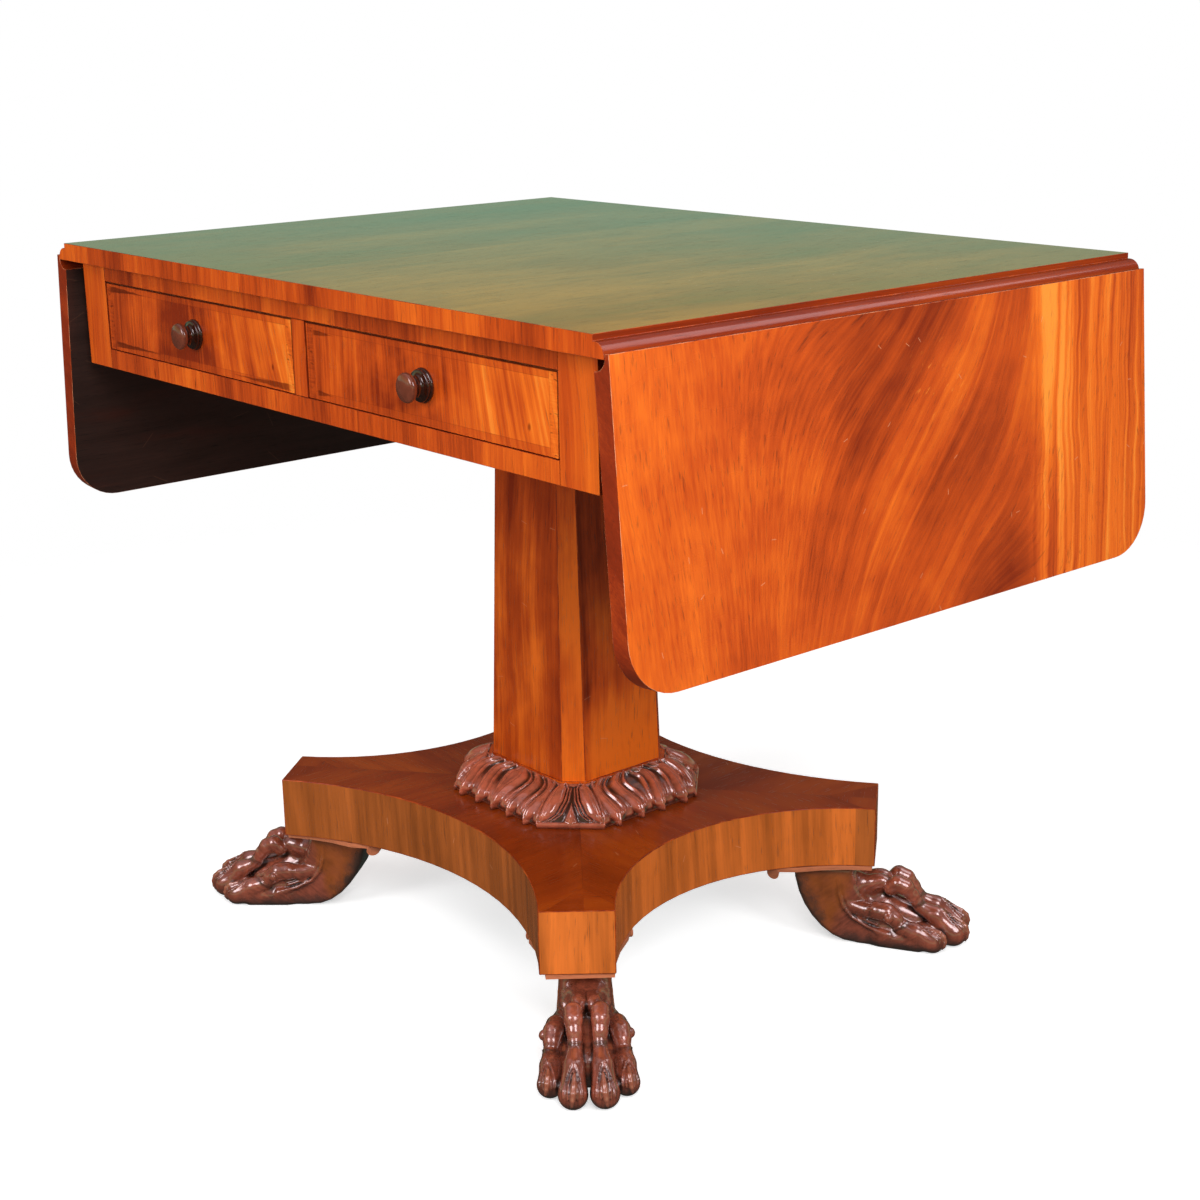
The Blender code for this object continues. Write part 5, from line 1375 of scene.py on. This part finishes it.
class TABLE_OT_inside(bpy.types.Operator):
    """Finish the frame inside, the swinging brackets and the hinges"""

    bl_idname = "table.inside"
    bl_label = "Inside and hinges"

    def execute(self, context):
        for node in ("runner_left", "runner_right", "runner_centre", "drawer_guide", "pedestal_bearer",
                     "fly_block_left", "fly_block_right"):
            wear_slot(node, inside_wood)
        for corner in CORNERS:
            wear_slot("fly_pin_" + corner, old_brass)
            dressed_board("fly_bracket_" + corner, (frieze_plain,), any_face)
            wear_slot("hinge_bed_plate_" + corner, old_brass)
            wear_slot("hinge_leaf_plate_" + corner, old_brass)
        tree = screw_tree()
        set_screws(tree, "table", [screw for corner in CORNERS for screw in self.bed_screws(corner)])
        for side in SIDES:
            screws = self.leaf_screws("front_" + side) + self.leaf_screws("rear_" + side)
            set_screws(tree, "leaf_" + side, screws)
        return {"FINISHED"}

    def rows(self, plate):
        """Where the two rows of screws run across a hinge plate, and the plate's lowest height."""
        inset = 0.008
        low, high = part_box(plate)
        return (low.y + inset, high.y - inset), low.z

    def bed_screws(self, corner):
        x = 0.409 if "right" in corner else -0.409
        rows, low = self.rows("hinge_bed_plate_" + corner)
        return [((x, y, low + 0.0001), (0.0, 0.0, -1.0)) for y in rows]

    def leaf_screws(self, corner):
        """Screws down the inner face of a hanging leaf, which leans out from below its pin."""
        outward = 1 if "right" in corner else -1
        face_x, pin_height = 0.4307, 0.7098
        inwards = (-outward * math.cos(LEAF_LEAN), 0.0, -math.sin(LEAF_LEAN))
        rows, _ = self.rows("hinge_leaf_plate_" + corner)
        return [((outward * (face_x + drop * math.sin(LEAF_LEAN)), y, pin_height - drop), inwards)
                for y in rows for drop in (0.020, 0.054)]


class TABLE_OT_stage(bpy.types.Operator):
    """Add the floor, the lights and the camera"""

    bl_idname = "table.stage"
    bl_label = "Stage"

    def execute(self, context):
        scene, stage = context.scene, context.scene.table_stage
        made = bmesh.new()
        bmesh.ops.create_circle(made, cap_ends=True, radius=2.0, segments=96)
        mesh = bpy.data.meshes.new("studio_floor")
        made.to_mesh(mesh)
        made.free()
        mesh.materials.append(finish(studio_floor))
        floor = bpy.data.objects.new("studio_floor", mesh)
        scene.collection.objects.link(floor)
        floor.visible_glossy, floor.visible_diffuse = False, False
        middle = Vector((0.1, -0.1, 0.45))
        self.lamp("key_light", (1.55, -1.1, 1.55), middle, 0.8, stage.key_power)
        self.lamp("side_light", (2.3, 0.1, 1.1), middle, 0.7, stage.side_power)
        self.lamp("fill_light", (-0.4, -2.6, 1.2), middle, 1.0, stage.fill_power)
        self.lamp("back_light", (-1.8, 2.2, 1.2), middle, 1.0, stage.back_power)
        glint_width = 1.1
        for name, place, share in (("left_glint", (0.2, -2.3, 1.7), 1.0),
                                   ("right_glint", (2.3, -0.5, 1.9), 1.0),
                                   ("rear_glint", (1.1, 1.3, 2.2), 0.4)):
            self.lamp(name, place, middle, glint_width, stage.glint_power * share, True)
        self.sky(stage.sky)
        lens = bpy.data.cameras.new("camera")
        lens.lens, lens.sensor_width, lens.sensor_fit = stage.lens, 36.0, "HORIZONTAL"
        camera = bpy.data.objects.new("camera", lens)
        scene.collection.objects.link(camera)
        place, target = Vector(stage.camera_place), Vector(stage.camera_target)
        turn = (target - place).to_track_quat("-Z", "Y").to_matrix()
        turn = turn @ Matrix.Rotation(stage.camera_roll, 3, "Z")
        camera.matrix_world = Matrix.Translation(place) @ turn.to_4x4()
        scene.camera = camera
        scene.view_settings.view_transform = "Standard"
        return {"FINISHED"}

    def lamp(self, name, place, target, wide, power, glint=False):
        """A soft square light; a glint light shows only in the polish and the others only on the colour."""
        light = bpy.data.lights.new(name, "AREA")
        light.shape, light.size, light.energy = "SQUARE", wide, power
        light.color = (1.0, 0.86, 0.89) if glint else (1.0, 1.0, 1.0)
        lamp = bpy.data.objects.new(name, light)
        lamp.visible_camera, lamp.visible_diffuse, lamp.visible_glossy = False, not glint, glint
        lamp.location = place
        lamp.rotation_euler = (target - Vector(place)).to_track_quat("-Z", "Y").to_euler()
        bpy.context.scene.collection.objects.link(lamp)

    def sky(self, strength):
        """White round about; the polish mirrors a green cloth low down and a dim room above and below it."""
        white, dim, cloth = (1.0, 1.0, 1.0), (0.03, 0.035, 0.03), (0.22, 0.39, 0.27)
        bands = ((0.0, dim), (0.02, cloth), (0.105, cloth), (0.155, (0.42, 0.37, 0.13)),
                 (0.23, (0.06, 0.06, 0.05)), (0.4, (0.06, 0.06, 0.06)), (1.0, (0.5, 0.42, 0.45)))
        world = bpy.data.worlds.new("studio")
        bpy.context.scene.world = world
        world.use_nodes = True
        world.node_tree.nodes.clear()
        node = Nodes(world.node_tree).node
        glossy = node("ShaderNodeLightPath", out="Is Glossy Ray")
        way = node("ShaderNodeTexCoord", out="Generated")
        height = node("ShaderNodeSeparateXYZ", {}, {0: way}, "Z")
        colour = node("ShaderNodeValToRGB", {"stops": bands}, {0: height})
        even = node("ShaderNodeBackground", {}, {"Color": white, "Strength": strength})
        mirrored = node("ShaderNodeBackground", {}, {"Color": colour})
        seen = node("ShaderNodeBackground", {}, {"Color": white})
        light = node("ShaderNodeMixShader", {}, {0: glossy, 1: even, 2: mirrored})
        light = node("ShaderNodeMixShader", {}, {0: glossy.other("Is Camera Ray"), 1: light, 2: seen})
        node("ShaderNodeOutputWorld", {}, {"Surface": light})


class TABLE_PT_dress(bpy.types.Panel):
    """Lists the steps that dress the table"""

    bl_idname = "TABLE_PT_dress"
    bl_label = "Drop-leaf table"
    bl_space_type = "VIEW_3D"
    bl_region_type = "UI"
    bl_category = "Table"

    def draw(self, context):
        for step in STEPS:
            self.layout.operator(step.bl_idname)
        for group in (context.scene.table_woods, context.scene.table_shapes, context.scene.table_stage):
            box = self.layout.box()
            for name in group.__annotations__:
                box.prop(group, name)


STEPS = (
    TABLE_OT_stage, TABLE_OT_bed, TABLE_OT_leaves, TABLE_OT_frieze, TABLE_OT_drawers, TABLE_OT_column,
    TABLE_OT_collar, TABLE_OT_platform, TABLE_OT_paws, TABLE_OT_inside,
)
GROUPS = {"table_woods": TableWoods, "table_shapes": TableShapes, "table_stage": TableStage}


def register():
    for kind in (*GROUPS.values(), *STEPS, TABLE_PT_dress):
        bpy.utils.register_class(kind)
    for name, kind in GROUPS.items():
        setattr(bpy.types.Scene, name, bpy.props.PointerProperty(type=kind))


def unregister():
    for name in GROUPS:
        delattr(bpy.types.Scene, name)
    for kind in reversed((*GROUPS.values(), *STEPS, TABLE_PT_dress)):
        bpy.utils.unregister_class(kind)


def main():
    register()
    bpy.ops.table.stage()
    bpy.ops.table.bed()
    bpy.ops.table.leaves()
    bpy.ops.table.frieze()
    bpy.ops.table.drawers()
    bpy.ops.table.column()
    bpy.ops.table.collar()
    bpy.ops.table.platform()
    bpy.ops.table.paws()
    bpy.ops.table.inside()


if __name__ == "__main__":
    main()
